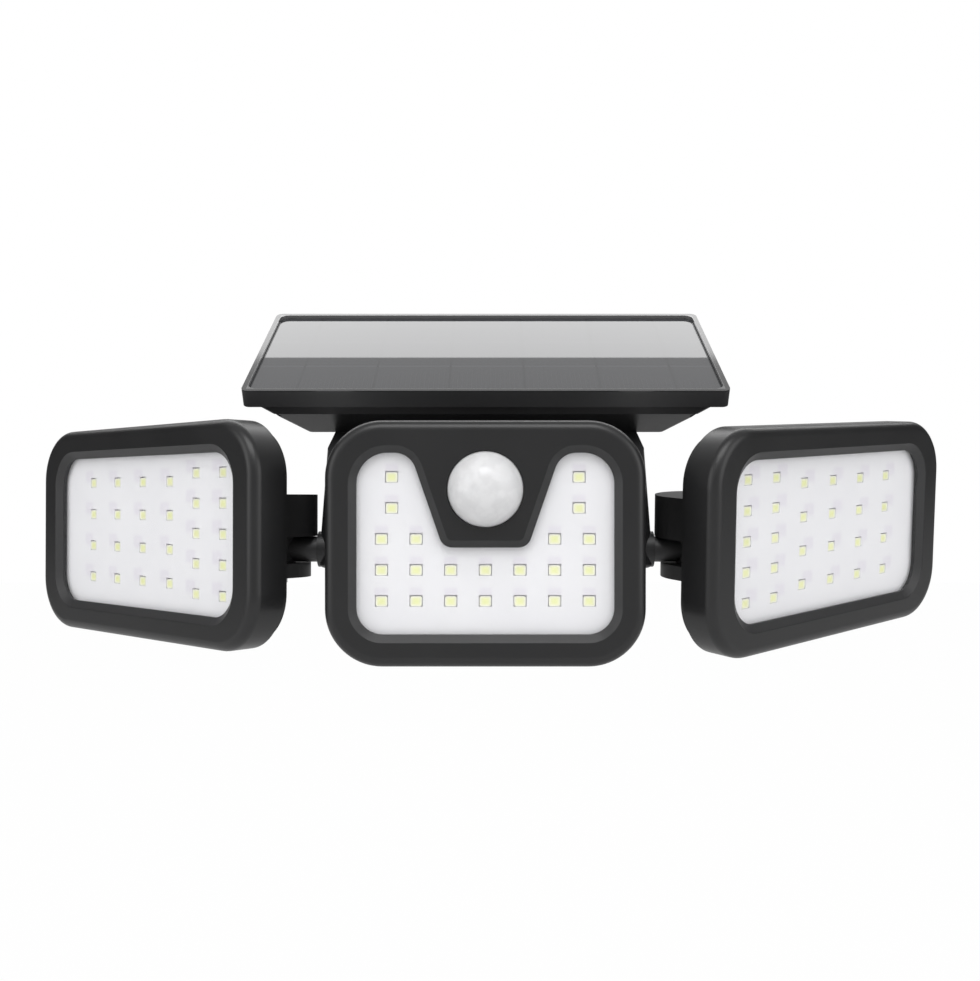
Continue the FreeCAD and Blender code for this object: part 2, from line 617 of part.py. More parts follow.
def make_sensor():
    """The frosted dome, the ring that holds it, the sensor can and its small board."""
    spot = Vector(0, 0, float(size.sensor_height))
    radius, reach, wall = float(size.dome_radius), float(size.dome_reach), float(size.dome_wall)
    lip_front, lip_back = float(size.face_thick), float(size.face_thick + size.dome_lip_thick)
    lip = float(size.dome_lip_radius)
    ball = (radius ** 2 + reach ** 2) / (2 * reach)
    centre_y = ball - reach
    slant = math.atan2(radius, centre_y) / 2
    middle = Vector(ball * math.sin(slant), centre_y - ball * math.cos(slant), 0)
    inner = ball - wall
    inner_radius = radius - wall
    inner_reach = math.sqrt(inner ** 2 - inner_radius ** 2)
    inner_slant = math.atan2(inner_radius, inner_reach) / 2
    inner_middle = Vector(inner * math.sin(inner_slant), centre_y - inner * math.cos(inner_slant), 0)
    inner_edge = Vector(inner_radius, centre_y - inner_reach, 0)
    outline = [Part.Arc(Vector(0, -reach, 0), middle, Vector(radius, 0, 0)).toShape(),
               Part.makePolygon([Vector(radius, 0, 0), Vector(radius, lip_front, 0),
                                 Vector(lip, lip_front, 0), Vector(lip, lip_back, 0),
                                 Vector(inner_radius, lip_back, 0), inner_edge]),
               Part.Arc(inner_edge, inner_middle, Vector(0, centre_y - inner, 0)).toShape(),
               Part.makeLine(Vector(0, centre_y - inner, 0), Vector(0, -reach, 0))]
    edges = [edge for part in outline for edge in part.Edges]
    face = Part.Face(Part.Wire(Part.__sortEdges__(edges)))
    dome = face.revolve(Vector(0, 0, 0), Vector(0, 1, 0), 360)
    piece("sensor_dome", dome, Placement(spot, Rotation()))

    holder = new_body("sensor_holder")
    ring = circle_sketch(holder, "XZ", size.sensor_board_radius,
                         -(size.face_thick + size.dome_lip_thick), (0.0, size.sensor_height))
    ring_thick = board_front - size.face_thick - size.dome_lip_thick
    pad(holder, ring, ring_thick, backwards=True)
    bore = circle_sketch(holder, "XZ", size.holder_bore, 0.0, (0.0, size.sensor_height))
    pocket(holder, bore)

    board = new_body("sensor_board")
    disc = circle_sketch(board, "XZ", size.sensor_board_radius, -board_front,
                         (0.0, size.sensor_height))
    pad(board, disc, size.board_thick, backwards=True)

    can = new_body("sensor_can")
    flange = circle_sketch(can, "XZ", size.can_flange_radius, -board_front,
                           (0.0, size.sensor_height))
    pad(can, flange, size.can_flange_thick)
    cap = circle_sketch(can, "XZ", size.can_radius, -board_front, (0.0, size.sensor_height))
    pad(can, cap, size.can_height)


def hinge_tongue(body, plane, middle, root, radius, level, thick, both_ways=False):
    """A D-shaped tongue about a hinge axis: a disc, and a straight part back to its root."""
    disc = circle_sketch(body, plane, radius, level, middle)
    pad(body, disc, thick, both_ways=both_ways)
    across, up = middle
    if plane == "YZ":
        block = [(root, up - radius), (across, up - radius), (across, up + radius),
                 (root, up + radius)]
    else:
        block = [(across - radius, root), (across + radius, root), (across + radius, up),
                 (across - radius, up)]
    pad(body, corner_sketch(body, plane, block, level), thick, both_ways=both_ways)


def make_tilt_lug(body):
    """The lug on the back of the centre head that turns between the housing's two ears."""
    axis = (size.tilt_axis_y - size.centre_face_y, size.tilt_axis_z - size.centre_middle_z)
    hinge_tongue(body, "YZ", axis, shell_floor, size.tilt_lug_radius, 0.0, size.tilt_lug_width,
                 both_ways=True)
    hole = circle_sketch(body, "YZ", size.tilt_pin_radius + size.pin_clearance, 0.0, axis)
    pocket(body, hole, 2 * size.tilt_lug_width, both_ways=True)


# ---------------------------------------------------------------- knuckles and arms of the side heads

def make_ears(body, head):
    """Two ears behind a side head, above and below the eye of its arm."""
    inward = 1.0 if head.name == "left" else -1.0
    middle = (inward * size.knuckle_inward, size.knuckle_back)
    root = shell_back - size.ear_root
    gap_top = size.ear_gap / 2 - size.knuckle_below
    gap_bottom = -(size.ear_gap / 2) - size.knuckle_below
    hinge_tongue(body, "XY", middle, root, size.upper_ear_radius, gap_top, size.upper_ear_thick)
    hinge_tongue(body, "XY", middle, root, size.lower_ear_radius,
                 gap_bottom - size.lower_ear_thick, size.lower_ear_thick)
    hole = circle_sketch(body, "XY", size.knuckle_pin_radius + size.pin_clearance, 0.0, middle)
    pocket(body, hole, size.upper_ear_thick * 4, both_ways=True)


def make_knuckle_fittings(head):
    """The screw through both ears and the eye, and the nut under the lower ear."""
    inward = 1.0 if head.name == "left" else -1.0
    x, y = inward * float(size.knuckle_inward), float(size.knuckle_back)
    top = float(size.ear_gap / 2 - size.knuckle_below + size.upper_ear_thick)
    bottom = float(-(size.ear_gap / 2) - size.knuckle_below - size.lower_ear_thick)
    nut_thick = float(size.knuckle_nut_thick)
    down = Vector(0, 0, -1)
    screw = headed_screw(Vector(x, y, top), down, size.knuckle_pin_radius,
                         top - bottom + nut_thick, size.knuckle_cap_radius,
                         size.knuckle_cap_height)
    piece(f"{head.name}_knuckle_screw", screw)
    hex_nut(f"{head.name}_knuckle_nut", size.knuckle_nut_radius, nut_thick,
            size.knuckle_pin_radius + size.pin_clearance, Vector(x, y, bottom - nut_thick),
            Vector(0, 0, 1))


def make_arm(side):
    """A round arm: an eye on the knuckle, a shoulder at the housing and a spigot through it."""
    inward = side == "left"
    sign = 1.0 if inward else -1.0
    body = new_body(f"{side}_arm")
    reach = size.knuckle_x - size.arm_boss_x - size.arm_seat_gap
    eye = circle_sketch(body, "XY", size.eye_radius)
    pad(body, eye, size.ear_gap - 2 * size.eye_gap, both_ways=True)
    pad(body, circle_sketch(body, "YZ", size.arm_radius), reach, backwards=not inward)
    spigot = circle_sketch(body, "YZ", size.spigot_radius, sign * reach)
    pad(body, spigot, size.spigot_length, backwards=not inward)
    hole = circle_sketch(body, "XY", size.knuckle_pin_radius + size.pin_clearance)
    pocket(body, hole, size.ear_gap * 2, both_ways=True)
    inner = float(reach + size.arm_seat_gap + size.arm_boss_length + size.arm_seat_gap)
    along = Vector(sign, 0, 0)
    washer_end = inner + float(size.spigot_washer_thick)
    bore = size.spigot_radius + size.pin_clearance
    ring = rod(size.spigot_washer_radius, size.spigot_washer_thick, along * inner, along)
    ring = ring.cut(rod(bore, size.spigot_washer_thick, along * inner, along))
    piece(f"{side}_arm_washer", ring)
    hex_nut(f"{side}_arm_nut", size.spigot_nut_radius, size.spigot_nut_thick, bore,
            along * washer_end, along)


# ---------------------------------------------------------------- tray and solar panel

def trig(kind, angle):
    """The sine, cosine or tangent of an angle on the sheet, in degrees."""
    value = getattr(math, kind)(math.radians(float(angle)))
    return Size(value, f"{kind}({angle.formula} * 1 deg)")


lean_sin, lean_cos, lean_tan = (trig(kind, size.tray_lean) for kind in ("sin", "cos", "tan"))
tub_bottom = size.rim_thick + size.skirt_depth + size.tub_depth
tub_front = size.skirt_end_step + size.skirt_end_taper + size.tub_end_taper
# where the flat bottom of the tub starts, at its front, seen from the side of the light
roof_y = size.tray_edge_y + lean_cos * tub_front + lean_sin * tub_bottom
roof_z = size.tray_edge_z + lean_sin * tub_front - lean_cos * tub_bottom
tray_place = Placement(Vector(0, float(size.tray_edge_y), float(size.tray_edge_z)),
                       Rotation(Vector(1, 0, 0), float(size.tray_lean)))


def roof_height(y):
    """How high the sloping roof of the housing is at a distance from the wall."""
    return roof_z + (y - roof_y) * lean_tan


def tray_outline(body, inset_x, inset_y, corner, level):
    """An outline in the plane of the tray, drawn in from the edge of its rim."""
    middle = (0.0, size.tray_length / 2)
    return round_rectangle(body, "XY", size.tray_width - 2 * inset_x,
                           size.tray_length - 2 * inset_y, corner, level, middle)


def make_tray():
    """The panel's tray: a rim, a shallow skirt under it and a tub that slopes in to its floor."""
    body = new_body("panel_tray")
    corner = size.tray_corner
    pad(body, tray_outline(body, 0.0, 0.0, corner, 0.0), size.rim_thick, backwards=True)
    skirt_level = -(size.rim_thick + size.skirt_depth)
    skirt_x = size.skirt_side_step + size.skirt_side_taper
    skirt_y = size.skirt_end_step + size.skirt_end_taper
    loft(body, "Additive",
         tray_outline(body, size.skirt_side_step, size.skirt_end_step, corner, -size.rim_thick),
         tray_outline(body, skirt_x, skirt_y, corner, skirt_level))
    floor_x, floor_y = skirt_x + size.tub_side_taper, skirt_y + size.tub_end_taper
    loft(body, "Additive", tray_outline(body, skirt_x, skirt_y, corner, skirt_level),
         tray_outline(body, floor_x, floor_y, corner, -tub_bottom))
    rim, wall = size.rim_width, size.tray_wall
    seat = size.glass_recess + size.glass_thick + size.cell_sheet_thick
    pocket(body, tray_outline(body, rim, rim, size.glass_corner, 0.0), seat)
    ledge = rim + size.ledge_width
    loft(body, "Subtractive",
         tray_outline(body, ledge + size.skirt_side_taper, ledge + wall, corner, -seat),
         tray_outline(body, skirt_x + wall, skirt_y + wall, corner, skirt_level))
    floor = -(tub_bottom - size.tray_floor)
    loft(body, "Subtractive", tray_outline(body, skirt_x + wall, skirt_y + wall, corner, skirt_level),
         tray_outline(body, floor_x + wall, floor_y + wall, corner, floor))
    for sign in (1.0, -1.0):
        notch = circle_sketch(body, "XZ", size.notch_radius, 0.0,
                              (sign * size.notch_x, -size.notch_depth))
        pocket(body, notch, size.notch_reach)
    for x, y in tray_screw_places():
        boss = circle_sketch(body, "XY", size.tray_screw_boss_radius, floor, (x, y))
        pad(body, boss, size.tray_screw_grip - size.tray_floor + size.screw_end_room)
        hole = circle_sketch(body, "XY", size.tray_screw_radius + size.pin_clearance, -tub_bottom,
                             (x, y))
        pocket(body, hole, size.tray_screw_grip, backwards=True)


def tray_screw_places():
    """The four screws that hold the tray, as places in the plane of the tray."""
    middle = size.tray_length / 2
    return [(x, middle + y) for x in (-size.tray_screw_x, size.tray_screw_x)
            for y in (-size.tray_screw_y, size.tray_screw_y)]


def make_panel():
    """The glass of the solar panel and the sheet of dark cells under it."""
    gap = size.rim_width + size.glass_gap
    corner = size.glass_corner - size.glass_gap
    glass = new_body("solar_glass")
    pad(glass, tray_outline(glass, gap, gap, corner, -size.glass_recess), size.glass_thick,
        backwards=True)
    cells = new_body("solar_cells")
    margin = gap + size.cell_sheet_margin
    under = -(size.glass_recess + size.glass_thick)
    pad(cells, tray_outline(cells, margin, margin, corner, under), size.cell_sheet_thick,
        backwards=True)


def make_tray_screws():
    """Screws driven up through the housing's roof, square to the tray."""
    wall = float(size.housing_wall)
    screws = []
    for x, y in tray_screw_places():
        foot = Vector(float(x), float(y), -float(tub_bottom) - wall)
        screws.append(headed_screw(foot, Vector(0, 0, 1), size.tray_screw_radius,
                                   size.tray_screw_grip + wall - size.pin_clearance,
                                   size.tray_screw_head_radius, size.tray_screw_head_height))
    piece("tray_screws", Part.makeCompound(screws))


# ---------------------------------------------------------------- housing on the wall

WEDGE_OVERLAP = 10.0


def half_width_at(z):
    """Half the width of the housing at a height: its sides flare towards the bottom."""
    share = (z - size.housing_bottom_z) / (size.housing_top_z - size.housing_bottom_z)
    return size.housing_bottom_half + (size.housing_top_half - size.housing_bottom_half) * share


def housing_block(body, inset, back):
    """The housing's outer form, drawn in by an inset: flared sides and a roof to suit the tray."""
    low, front = size.housing_bottom_z + inset, size.housing_front_y + inset
    drop = inset / lean_cos
    shoulder = size.shoulder_z + inset * (roof_z - size.shoulder_z) / (roof_y - size.housing_front_y)
    profile = [(back, low), (back, roof_height(back) - drop), (roof_y, roof_z - drop),
               (front, shoulder - drop), (front, low)]
    pad(body, corner_sketch(body, "YZ", profile), 2 * size.housing_bottom_half, both_ways=True)
    bottom, high = size.housing_bottom_z, size.housing_top_z
    for sign in (1.0, -1.0):
        outside = sign * (size.housing_bottom_half + WEDGE_OVERLAP)
        wedge = [(sign * (size.housing_bottom_half - inset), bottom), (outside, bottom),
                 (outside, high), (sign * (size.housing_top_half - inset), high)]
        cut = pocket(body, corner_sketch(body, "XZ", wedge), -size.housing_front_y * 4,
                     both_ways=True)

    def front_upright(edge, spot):
        ends = [vertex.Point for vertex in edge.Vertexes]
        return near(spot.y, front) and abs(ends[0].z - ends[-1].z) > 5.0

    return dress(body, "Fillet", cut, front_upright, size.housing_corner - inset)


def make_housing():
    """The housing: a hollow block, open at the back, with hinge ears in front and arm bosses."""
    cavity = new_body("housing_cavity")
    housing_block(cavity, size.housing_wall, 0 * size.housing_wall)
    del parts[cavity.Label]
    body = new_body("base_housing")
    low, front = size.housing_bottom_z, size.housing_front_y
    block = housing_block(body, 0 * size.housing_wall, size.housing_back_y)
    dress(body, "Fillet", block, lambda edge, spot: near(spot.z, low) and near(spot.y, front),
          size.floor_edge_round)
    hollow = body.newObject("PartDesign::Boolean", "hollow")
    hollow.Type = "Cut"
    hollow.Group = [cavity]
    spigot_hole = size.spigot_radius + size.pin_clearance
    axis = (size.arm_axis_y, size.arm_axis_z)
    for sign in (1.0, -1.0):
        level = sign * (size.arm_boss_x - size.arm_boss_length)
        pad(body, circle_sketch(body, "YZ", size.arm_boss_radius, level, axis),
            size.arm_boss_length, backwards=sign < 0)
    pocket(body, circle_sketch(body, "YZ", spigot_hole, 0.0, axis), size.arm_boss_x * 4,
           both_ways=True)
    ear_inside = size.tilt_lug_width / 2 + size.tilt_side_gap
    tilt = (size.tilt_axis_y, size.tilt_axis_z)
    root = size.housing_front_y + size.housing_wall / 2
    for sign in (1.0, -1.0):
        hinge_tongue(body, "YZ", tilt, root, size.tilt_lug_radius,
                     sign * (ear_inside + size.tilt_ear_width / 2), size.tilt_ear_width,
                     both_ways=True)
    pocket(body, circle_sketch(body, "YZ", size.tilt_pin_radius + size.pin_clearance, 0.0, tilt),
           size.arm_boss_x, both_ways=True)
    floor = size.housing_bottom_z + size.housing_wall
    button = (size.button_x, size.button_y)
    pocket(body, circle_sketch(body, "XY", size.button_radius + size.button_gap, low, button),
           size.housing_wall * 2, both_ways=True)
    screw_hole_radius = size.housing_screw_radius + size.pin_clearance
    for sign in (1.0, -1.0):
        spot = (sign * size.lug_x, size.housing_screw_y)
        pocket(body, circle_sketch(body, "XY", screw_hole_radius, low, spot),
               size.housing_wall * 2, both_ways=True)
    for x in (-1.0, 1.0):
        for y in (-1.0, 1.0):
            spot = (x * (size.control_width / 2 - size.stand_inset),
                    size.control_y + y * (size.control_depth / 2 - size.stand_inset))
            pad(body, circle_sketch(body, "XY", size.stand_radius, floor, spot),
                size.control_z - floor)
    make_tray_holes(body)


def make_tray_holes(body):
    """Holes through the roof for the screws of the tray, square to its slope."""
    radius = size.tray_screw_radius + size.pin_clearance
    for x, y in tray_screw_places():
        sketch = circle_sketch(body, "XY", radius)
        sketch.MapMode = "Deactivated"
        spot = tray_place.multVec(Vector(float(x), float(y), -float(tub_bottom)))
        sketch.Placement = Placement(spot, tray_place.Rotation)
        pocket(body, sketch, size.housing_wall * 3, both_ways=True)


def make_wall_plate():
    """The plate that is screwed to the wall, with two lugs that the housing is screwed to."""
    body = new_body("wall_plate")
    low, high = size.wall_plate_low, size.wall_plate_high
    outline = round_rectangle(body, "XZ", 2 * size.wall_plate_half, high - low,
                              size.wall_plate_corner, 0.0, (0.0, (high + low) / 2))
    pad(body, outline, size.wall_plate_thick)
    floor = size.housing_bottom_z + size.housing_wall + size.lug_floor_gap
    for sign in (1.0, -1.0):
        x = sign * size.lug_x
        left, right = x - size.lug_half_width, x + size.lug_half_width
        block = [(left, floor), (right, floor), (right, floor + size.lug_height),
                 (left, floor + size.lug_height)]
        lug_back = size.lug_seal_gap - size.housing_back_y
        pad(body, corner_sketch(body, "XZ", block, lug_back), size.lug_reach - lug_back)
        hole = circle_sketch(body, "XZ", size.wall_hole_radius, 0.0,
                             (sign * size.wall_hole_spacing / 2, 0.0))
        pocket(body, hole, size.wall_plate_thick * 3, both_ways=True)
        bore = circle_sketch(body, "XY", size.housing_screw_radius + size.pin_clearance, floor,
                             (x, size.housing_screw_y))
        pocket(body, bore, size.lug_height - size.lug_roof, backwards=True)


def make_housing_screws():
    """Two screws from below, through the housing's floor into the wall plate's lugs."""
    screws = []
    for sign in (1.0, -1.0):
        foot = Vector(sign * float(size.lug_x), float(size.housing_screw_y),
                      float(size.housing_bottom_z))
        screws.append(headed_screw(foot, Vector(0, 0, 1), size.housing_screw_radius,
                                   size.housing_screw_length, size.housing_screw_head_radius,
                                   size.housing_screw_head_height))
    piece("housing_screws", Part.makeCompound(screws))


def make_wall_seal():
    """The soft strip between the housing's back edge and the wall."""
    body = new_body("wall_seal")
    inset = size.wall_seal_inset
    for drop in (inset, inset + size.wall_seal_width):
        low = size.housing_bottom_z + drop
        high = roof_height(size.housing_back_y) - drop
        corners = [(-(half_width_at(low) - drop), low), (half_width_at(low) - drop, low),
                   (half_width_at(high) - drop, high), (-(half_width_at(high) - drop), high)]
        sketch = corner_sketch(body, "XZ", corners)
        if drop is inset:
            pad(body, sketch, -size.housing_back_y)
        else:
            pocket(body, sketch, -size.housing_back_y * 3, both_ways=True)


def make_tilt_pin():
    """The pin of the centre head's hinge, with a head at one end."""
    half = float(size.tilt_lug_width / 2 + size.tilt_side_gap + size.tilt_ear_width)
    foot = Vector(half, float(size.tilt_axis_y), float(size.tilt_axis_z))
    piece("tilt_pin", headed_screw(foot, Vector(-1, 0, 0), size.tilt_pin_radius, 2 * half,
                                   size.tilt_pin_head_radius, size.tilt_pin_head_thick))


# ---------------------------------------------------------------- battery, control board and button

def make_battery():
    """One round cell lying along X, and the cradle that carries it off the floor."""
    y, z = float(size.cell_y), float(size.cell_z)
    half = float(size.cell_length) / 2
    along = Vector(1, 0, 0)
    can = rod(size.cell_radius, size.cell_length, Vector(-half, y, z), along)
    tip = rod(size.cell_cap_radius, size.cell_cap_height, Vector(half, y, z), along)
    piece("battery_cell", can.fuse(tip))

    body = new_body("battery_cradle")
    trough = size.cell_radius + size.cradle_gap
    outer = trough + size.cradle_wall
    low = size.cell_z - outer
    block = [(size.cell_y - outer, low), (size.cell_y + outer, low),
             (size.cell_y + outer, size.cell_z), (size.cell_y - outer, size.cell_z)]
    inside = size.cell_length / 2 + size.cell_cap_height + size.cradle_gap
    pad(body, corner_sketch(body, "YZ", block), 2 * (inside + size.cradle_end), both_ways=True)
    pocket(body, circle_sketch(body, "YZ", trough, 0.0, (size.cell_y, size.cell_z)), 2 * inside,
           both_ways=True)
    floor = size.housing_bottom_z + size.housing_wall
    foot = [(size.cell_y - outer, floor), (size.cell_y + outer, floor),
            (size.cell_y + outer, low), (size.cell_y - outer, low)]
    for sign in (1.0, -1.0):
        pad(body, corner_sketch(body, "YZ", foot, sign * (inside + size.cradle_end / 2)),
            size.cradle_end, both_ways=True)


def make_control_board():
    """The control board on its stands, with the push switch under it."""
    body = new_body("control_board")
    middle = (0.0, size.control_y)
    board = round_rectangle(body, "XY", size.control_width, size.control_depth,
                            size.control_corner, size.control_z, middle)
    pad(body, board, size.control_thick)
    half = size.switch_side / 2
    x, y = size.button_x, size.button_y
    block = [(x - half, y - half), (x + half, y - half), (x + half, y + half),
             (x - half, y + half)]
    pad(body, corner_sketch(body, "XY", block, size.control_z), size.switch_height,
        backwards=True)


def make_button():
    """The mode button: a cap through the floor and a flange that keeps it in."""
    body = new_body("mode_button")
    spot = (size.button_x, size.button_y)
    floor = size.housing_bottom_z + size.housing_wall
    bottom = size.housing_bottom_z - size.button_proud
    cap = circle_sketch(body, "XY", size.button_radius, bottom, spot)
    pad(body, cap, floor - bottom)
    flange = circle_sketch(body, "XY", size.button_flange_radius, floor, spot)
    pad(body, flange, size.button_flange_thick)


# ---------------------------------------------------------------- the whole light

HEADS = [Head("centre", "centre"), Head("left", "side"), Head("right", "side")]


def head_place(head):
    """Where a head stands: the side heads turn about their knuckles and lean with their arms."""
    if head.has_sensor:
        spot = Vector(0, float(size.centre_face_y), float(size.centre_middle_z))
        return Placement(spot, Rotation())
    inward = 1.0 if head.name == "left" else -1.0
    swing = size.left_swing if inward > 0 else size.right_swing
    knuckle = Vector(inward * float(size.knuckle_inward), float(size.knuckle_back),
                     -float(size.knuckle_below))
    turn = Placement(Vector(), Rotation(Vector(0, 0, 1), -inward * float(swing)))
    return arm_place(head.name) * turn * Placement(-knuckle, Rotation())


def arm_place(side):
    """Where an arm stands: on its axis at the knuckle, leaning about X."""
    sign = -1.0 if side == "left" else 1.0
    lean = size.left_lean if side == "left" else size.right_lean
    spot = Vector(sign * float(size.knuckle_x), float(size.arm_axis_y), float(size.arm_axis_z))
    return Placement(spot, Rotation(Vector(1, 0, 0), float(lean)))


def place_new(before, placement):
    """Moves every piece made since then to its place on the light."""
    for label in parts:
        if label not in before:
            parts[label].Placement = placement * parts[label].Placement


def build():
    """Makes every piece and puts it in its place."""
    for head in HEADS:
        before = set(parts)
        for make in (make_bezel, make_lens, make_plate_and_chips, make_board, make_seal,
                     make_rear_shell, make_case_screws):
            make(head)
        if head.has_sensor:
            make_sensor()
        else:
            make_knuckle_fittings(head)
        doc.recompute()
        place_new(before, head_place(head))
    for side in ("left", "right"):
        before = set(parts)
        make_arm(side)
        doc.recompute()
        place_new(before, arm_place(side))
    before = set(parts)
    make_tray()
    make_panel()
    make_tray_screws()
    doc.recompute()
    place_new(before, tray_place)
    for make in (make_housing, make_wall_plate, make_wall_seal, make_housing_screws,
                 make_tilt_pin, make_battery, make_control_board, make_button):
        make()
    for label, thing in parts.items():
        if thing.TypeId == "PartDesign::Body":
            thing.Tip.Refine = True
    doc.recompute()


def check():
    """Stops if any feature failed or any piece is not a sound solid."""
    for thing in doc.Objects:
        if "Invalid" in thing.State or "Error" in thing.State:
            raise RuntimeError(f"{thing.Label} of {thing.InList[:1]} failed: {thing.State}")
    for label, thing in parts.items():
        shape = thing.Shape
        if shape.isNull() or not shape.isValid() or not shape.Solids:
            raise RuntimeError(f"{label} is not a sound solid")


build()
check()
os.makedirs("parts", exist_ok=True)
for label, thing in parts.items():
    thing.Shape.exportStep(os.path.join("parts", label + ".step"))
print(f"{len(parts)} pieces written")
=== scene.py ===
"""Looks of a wall light with three lamp heads, a motion sensor and a solar panel.

Metres throughout, in the frame of the model: X to the right, Y into the wall, Z up.  Each lamp
head also has a frame of its own, whose y = 0 is the front of its bezel and whose x = z = 0 is
the middle of its face.
"""
import json
import math

import bmesh
import bpy
import numpy as np
from mathutils import Matrix, Vector


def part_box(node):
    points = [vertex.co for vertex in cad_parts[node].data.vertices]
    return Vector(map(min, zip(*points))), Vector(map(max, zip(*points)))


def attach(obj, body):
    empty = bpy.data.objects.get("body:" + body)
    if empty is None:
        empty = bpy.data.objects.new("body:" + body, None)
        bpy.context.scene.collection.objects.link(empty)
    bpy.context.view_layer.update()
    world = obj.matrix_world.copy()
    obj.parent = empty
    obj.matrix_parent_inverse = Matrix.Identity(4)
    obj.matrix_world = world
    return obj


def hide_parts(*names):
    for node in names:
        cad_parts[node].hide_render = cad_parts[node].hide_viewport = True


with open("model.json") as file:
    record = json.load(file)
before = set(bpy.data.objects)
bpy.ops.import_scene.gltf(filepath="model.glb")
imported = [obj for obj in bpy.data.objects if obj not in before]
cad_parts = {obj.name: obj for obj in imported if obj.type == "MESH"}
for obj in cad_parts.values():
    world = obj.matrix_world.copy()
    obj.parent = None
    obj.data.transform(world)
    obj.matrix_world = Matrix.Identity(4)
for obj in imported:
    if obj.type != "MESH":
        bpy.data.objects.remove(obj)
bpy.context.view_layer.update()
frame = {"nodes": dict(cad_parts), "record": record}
nodes = frame["nodes"]

CAMERA_PLACE = Vector((0.0014, -0.424, 0.0))
FOCAL_PIXELS = 1050.0
FRAME_PIXELS = 981.0
SENSOR = 36.0


# ---------------------------------------------------------------- frames of the heads and the tray

INWARD = {"left": 1.0, "right": -1.0}
CENTRE_FACE = (0.0, -0.110, -0.016)
ARM_OUT, ARM_Y, ARM_Z = 0.0707, -0.069, -0.0198
ARM_LEAN = {"left": -0.5, "right": 5.4}
HEAD_SWING = {"left": 40.7, "right": 39.0}
# from the middle of a side head's face to the pivot of its knuckle
KNUCKLE_INWARD, KNUCKLE_BACK, KNUCKLE_DOWN = 0.0397, 0.0294, 0.0056
TRAY_EDGE, TRAY_LEAN = (0.0, -0.0782, 0.0329), 30.3


def arm_frame(side):
    """From a knuckle's own frame to the light's."""
    return (Matrix.Translation((-INWARD[side] * ARM_OUT, ARM_Y, ARM_Z))
            @ Matrix.Rotation(math.radians(ARM_LEAN[side]), 4, "X"))


def head_frame(name):
    """From a head's own frame to the light's."""
    if name == "centre":
        return Matrix.Translation(CENTRE_FACE)
    inward = INWARD[name]
    return (arm_frame(name) @ Matrix.Rotation(math.radians(-inward * HEAD_SWING[name]), 4, "Z")
            @ Matrix.Translation((-inward * KNUCKLE_INWARD, -KNUCKLE_BACK, KNUCKLE_DOWN)))


def tray_frame():
    """From the plane of the tray's rim to the light's frame."""
    return (Matrix.Translation(TRAY_EDGE)
            @ Matrix.Rotation(math.radians(TRAY_LEAN), 4, "X"))


HEADS = {name: head_frame(name) for name in ("centre", "left", "right")}
# half sizes of the sloped band round each window, and of the rectangle of closing screws
WINDOWS = {"centre": (0.0415, 0.0300), "left": (0.0562, 0.0290), "right": (0.0562, 0.0290)}
SCREW_PLACES = {"centre": (0.0401, 0.0288), "left": (0.0557, 0.0263), "right": (0.0557, 0.0263)}

# chips of the centre head, from above: two rows of a pair, one row of four, two rows of seven
COLUMN_PITCH, ROW_PITCH = 0.0105, 0.0094
TOP_ROW, UPPER_PAIR = 0.020, 0.0284
# chips of a side head, from the outside inwards: four columns of four, two columns of five
FOUR_PITCH, FOUR_ROW_PITCH = 0.0166, 0.0114
FIVE_PITCH, FIVE_ROW_PITCH = 0.0147, 0.00985
# half the way between those two groups, and how far inwards of the face's middle it is halfway
HALF_GROUP_GAP, CHIPS_INWARD = 0.0077, 0.0226


# ---------------------------------------------------------------- material helpers

class Number:
    """A value inside a material.  Arithmetic on it adds the maths nodes that work it out."""

    def __init__(self, graph, socket):
        self.graph = graph
        self.socket = socket

    def worked(self, operation, *values):
        return self.graph.node("ShaderNodeMath", values, operation=operation)

    def __add__(self, other):
        return self.worked("ADD", self, other)

    def __sub__(self, other):
        return self.worked("SUBTRACT", self, other)

    def __mul__(self, other):
        return self.worked("MULTIPLY", self, other)

    def __rsub__(self, other):
        return self.worked("SUBTRACT", other, self)

    def __lt__(self, other):
        return self.worked("LESS_THAN", self, other)

    def __gt__(self, other):
        return self.worked("GREATER_THAN", self, other)

    def __abs__(self):
        return self.worked("ABSOLUTE", self)

    __radd__ = __add__
    __rmul__ = __mul__


class Graph:
    """A node tree whose nodes are added by Python expressions."""

    def __init__(self, tree):
        self.tree = tree

    def node(self, kind, values=(), output=0, **settings):
        """Adds a node: its settings first, then its sockets, by order or by name."""
        made = self.tree.nodes.new(kind)
        for name, value in settings.items():
            setattr(made, name, value)
        pairs = values.items() if isinstance(values, dict) else enumerate(values)
        for socket, value in pairs:
            if isinstance(value, Number):
                self.tree.links.new(value.socket, made.inputs[socket])
            else:
                made.inputs[socket].default_value = value
        return Number(self, made.outputs[output] if made.outputs else None)

    def axes(self, point):
        """The three coordinates of a point."""
        split = self.node("ShaderNodeSeparateXYZ", (point,)).socket.node
        return [Number(self, socket) for socket in split.outputs]

    def rise(self, value, low, high):
        """A soft step, from 0 where the value is low to 1 where it is high."""
        return self.node("ShaderNodeMapRange", {"Value": value, "From Min": low, "From Max": high},
                         interpolation_type="SMOOTHSTEP")

    def larger(self, one, other):
        """The larger of two values."""
        return self.node("ShaderNodeMath", (one, other), operation="MAXIMUM")

    def repeat(self, value, pitch, shift=0.0):
        """Rises from 0 to 1 along each pitch and starts again; shift is in pitches."""
        steps = value * (1.0 / pitch) + shift
        return self.node("ShaderNodeMath", (steps, 1.0), operation="FRACT")

    def ray(self, kind):
        """1 for rays of one kind, such as "Is Camera Ray", and 0 for the others."""
        return self.node("ShaderNodeLightPath", output=kind)


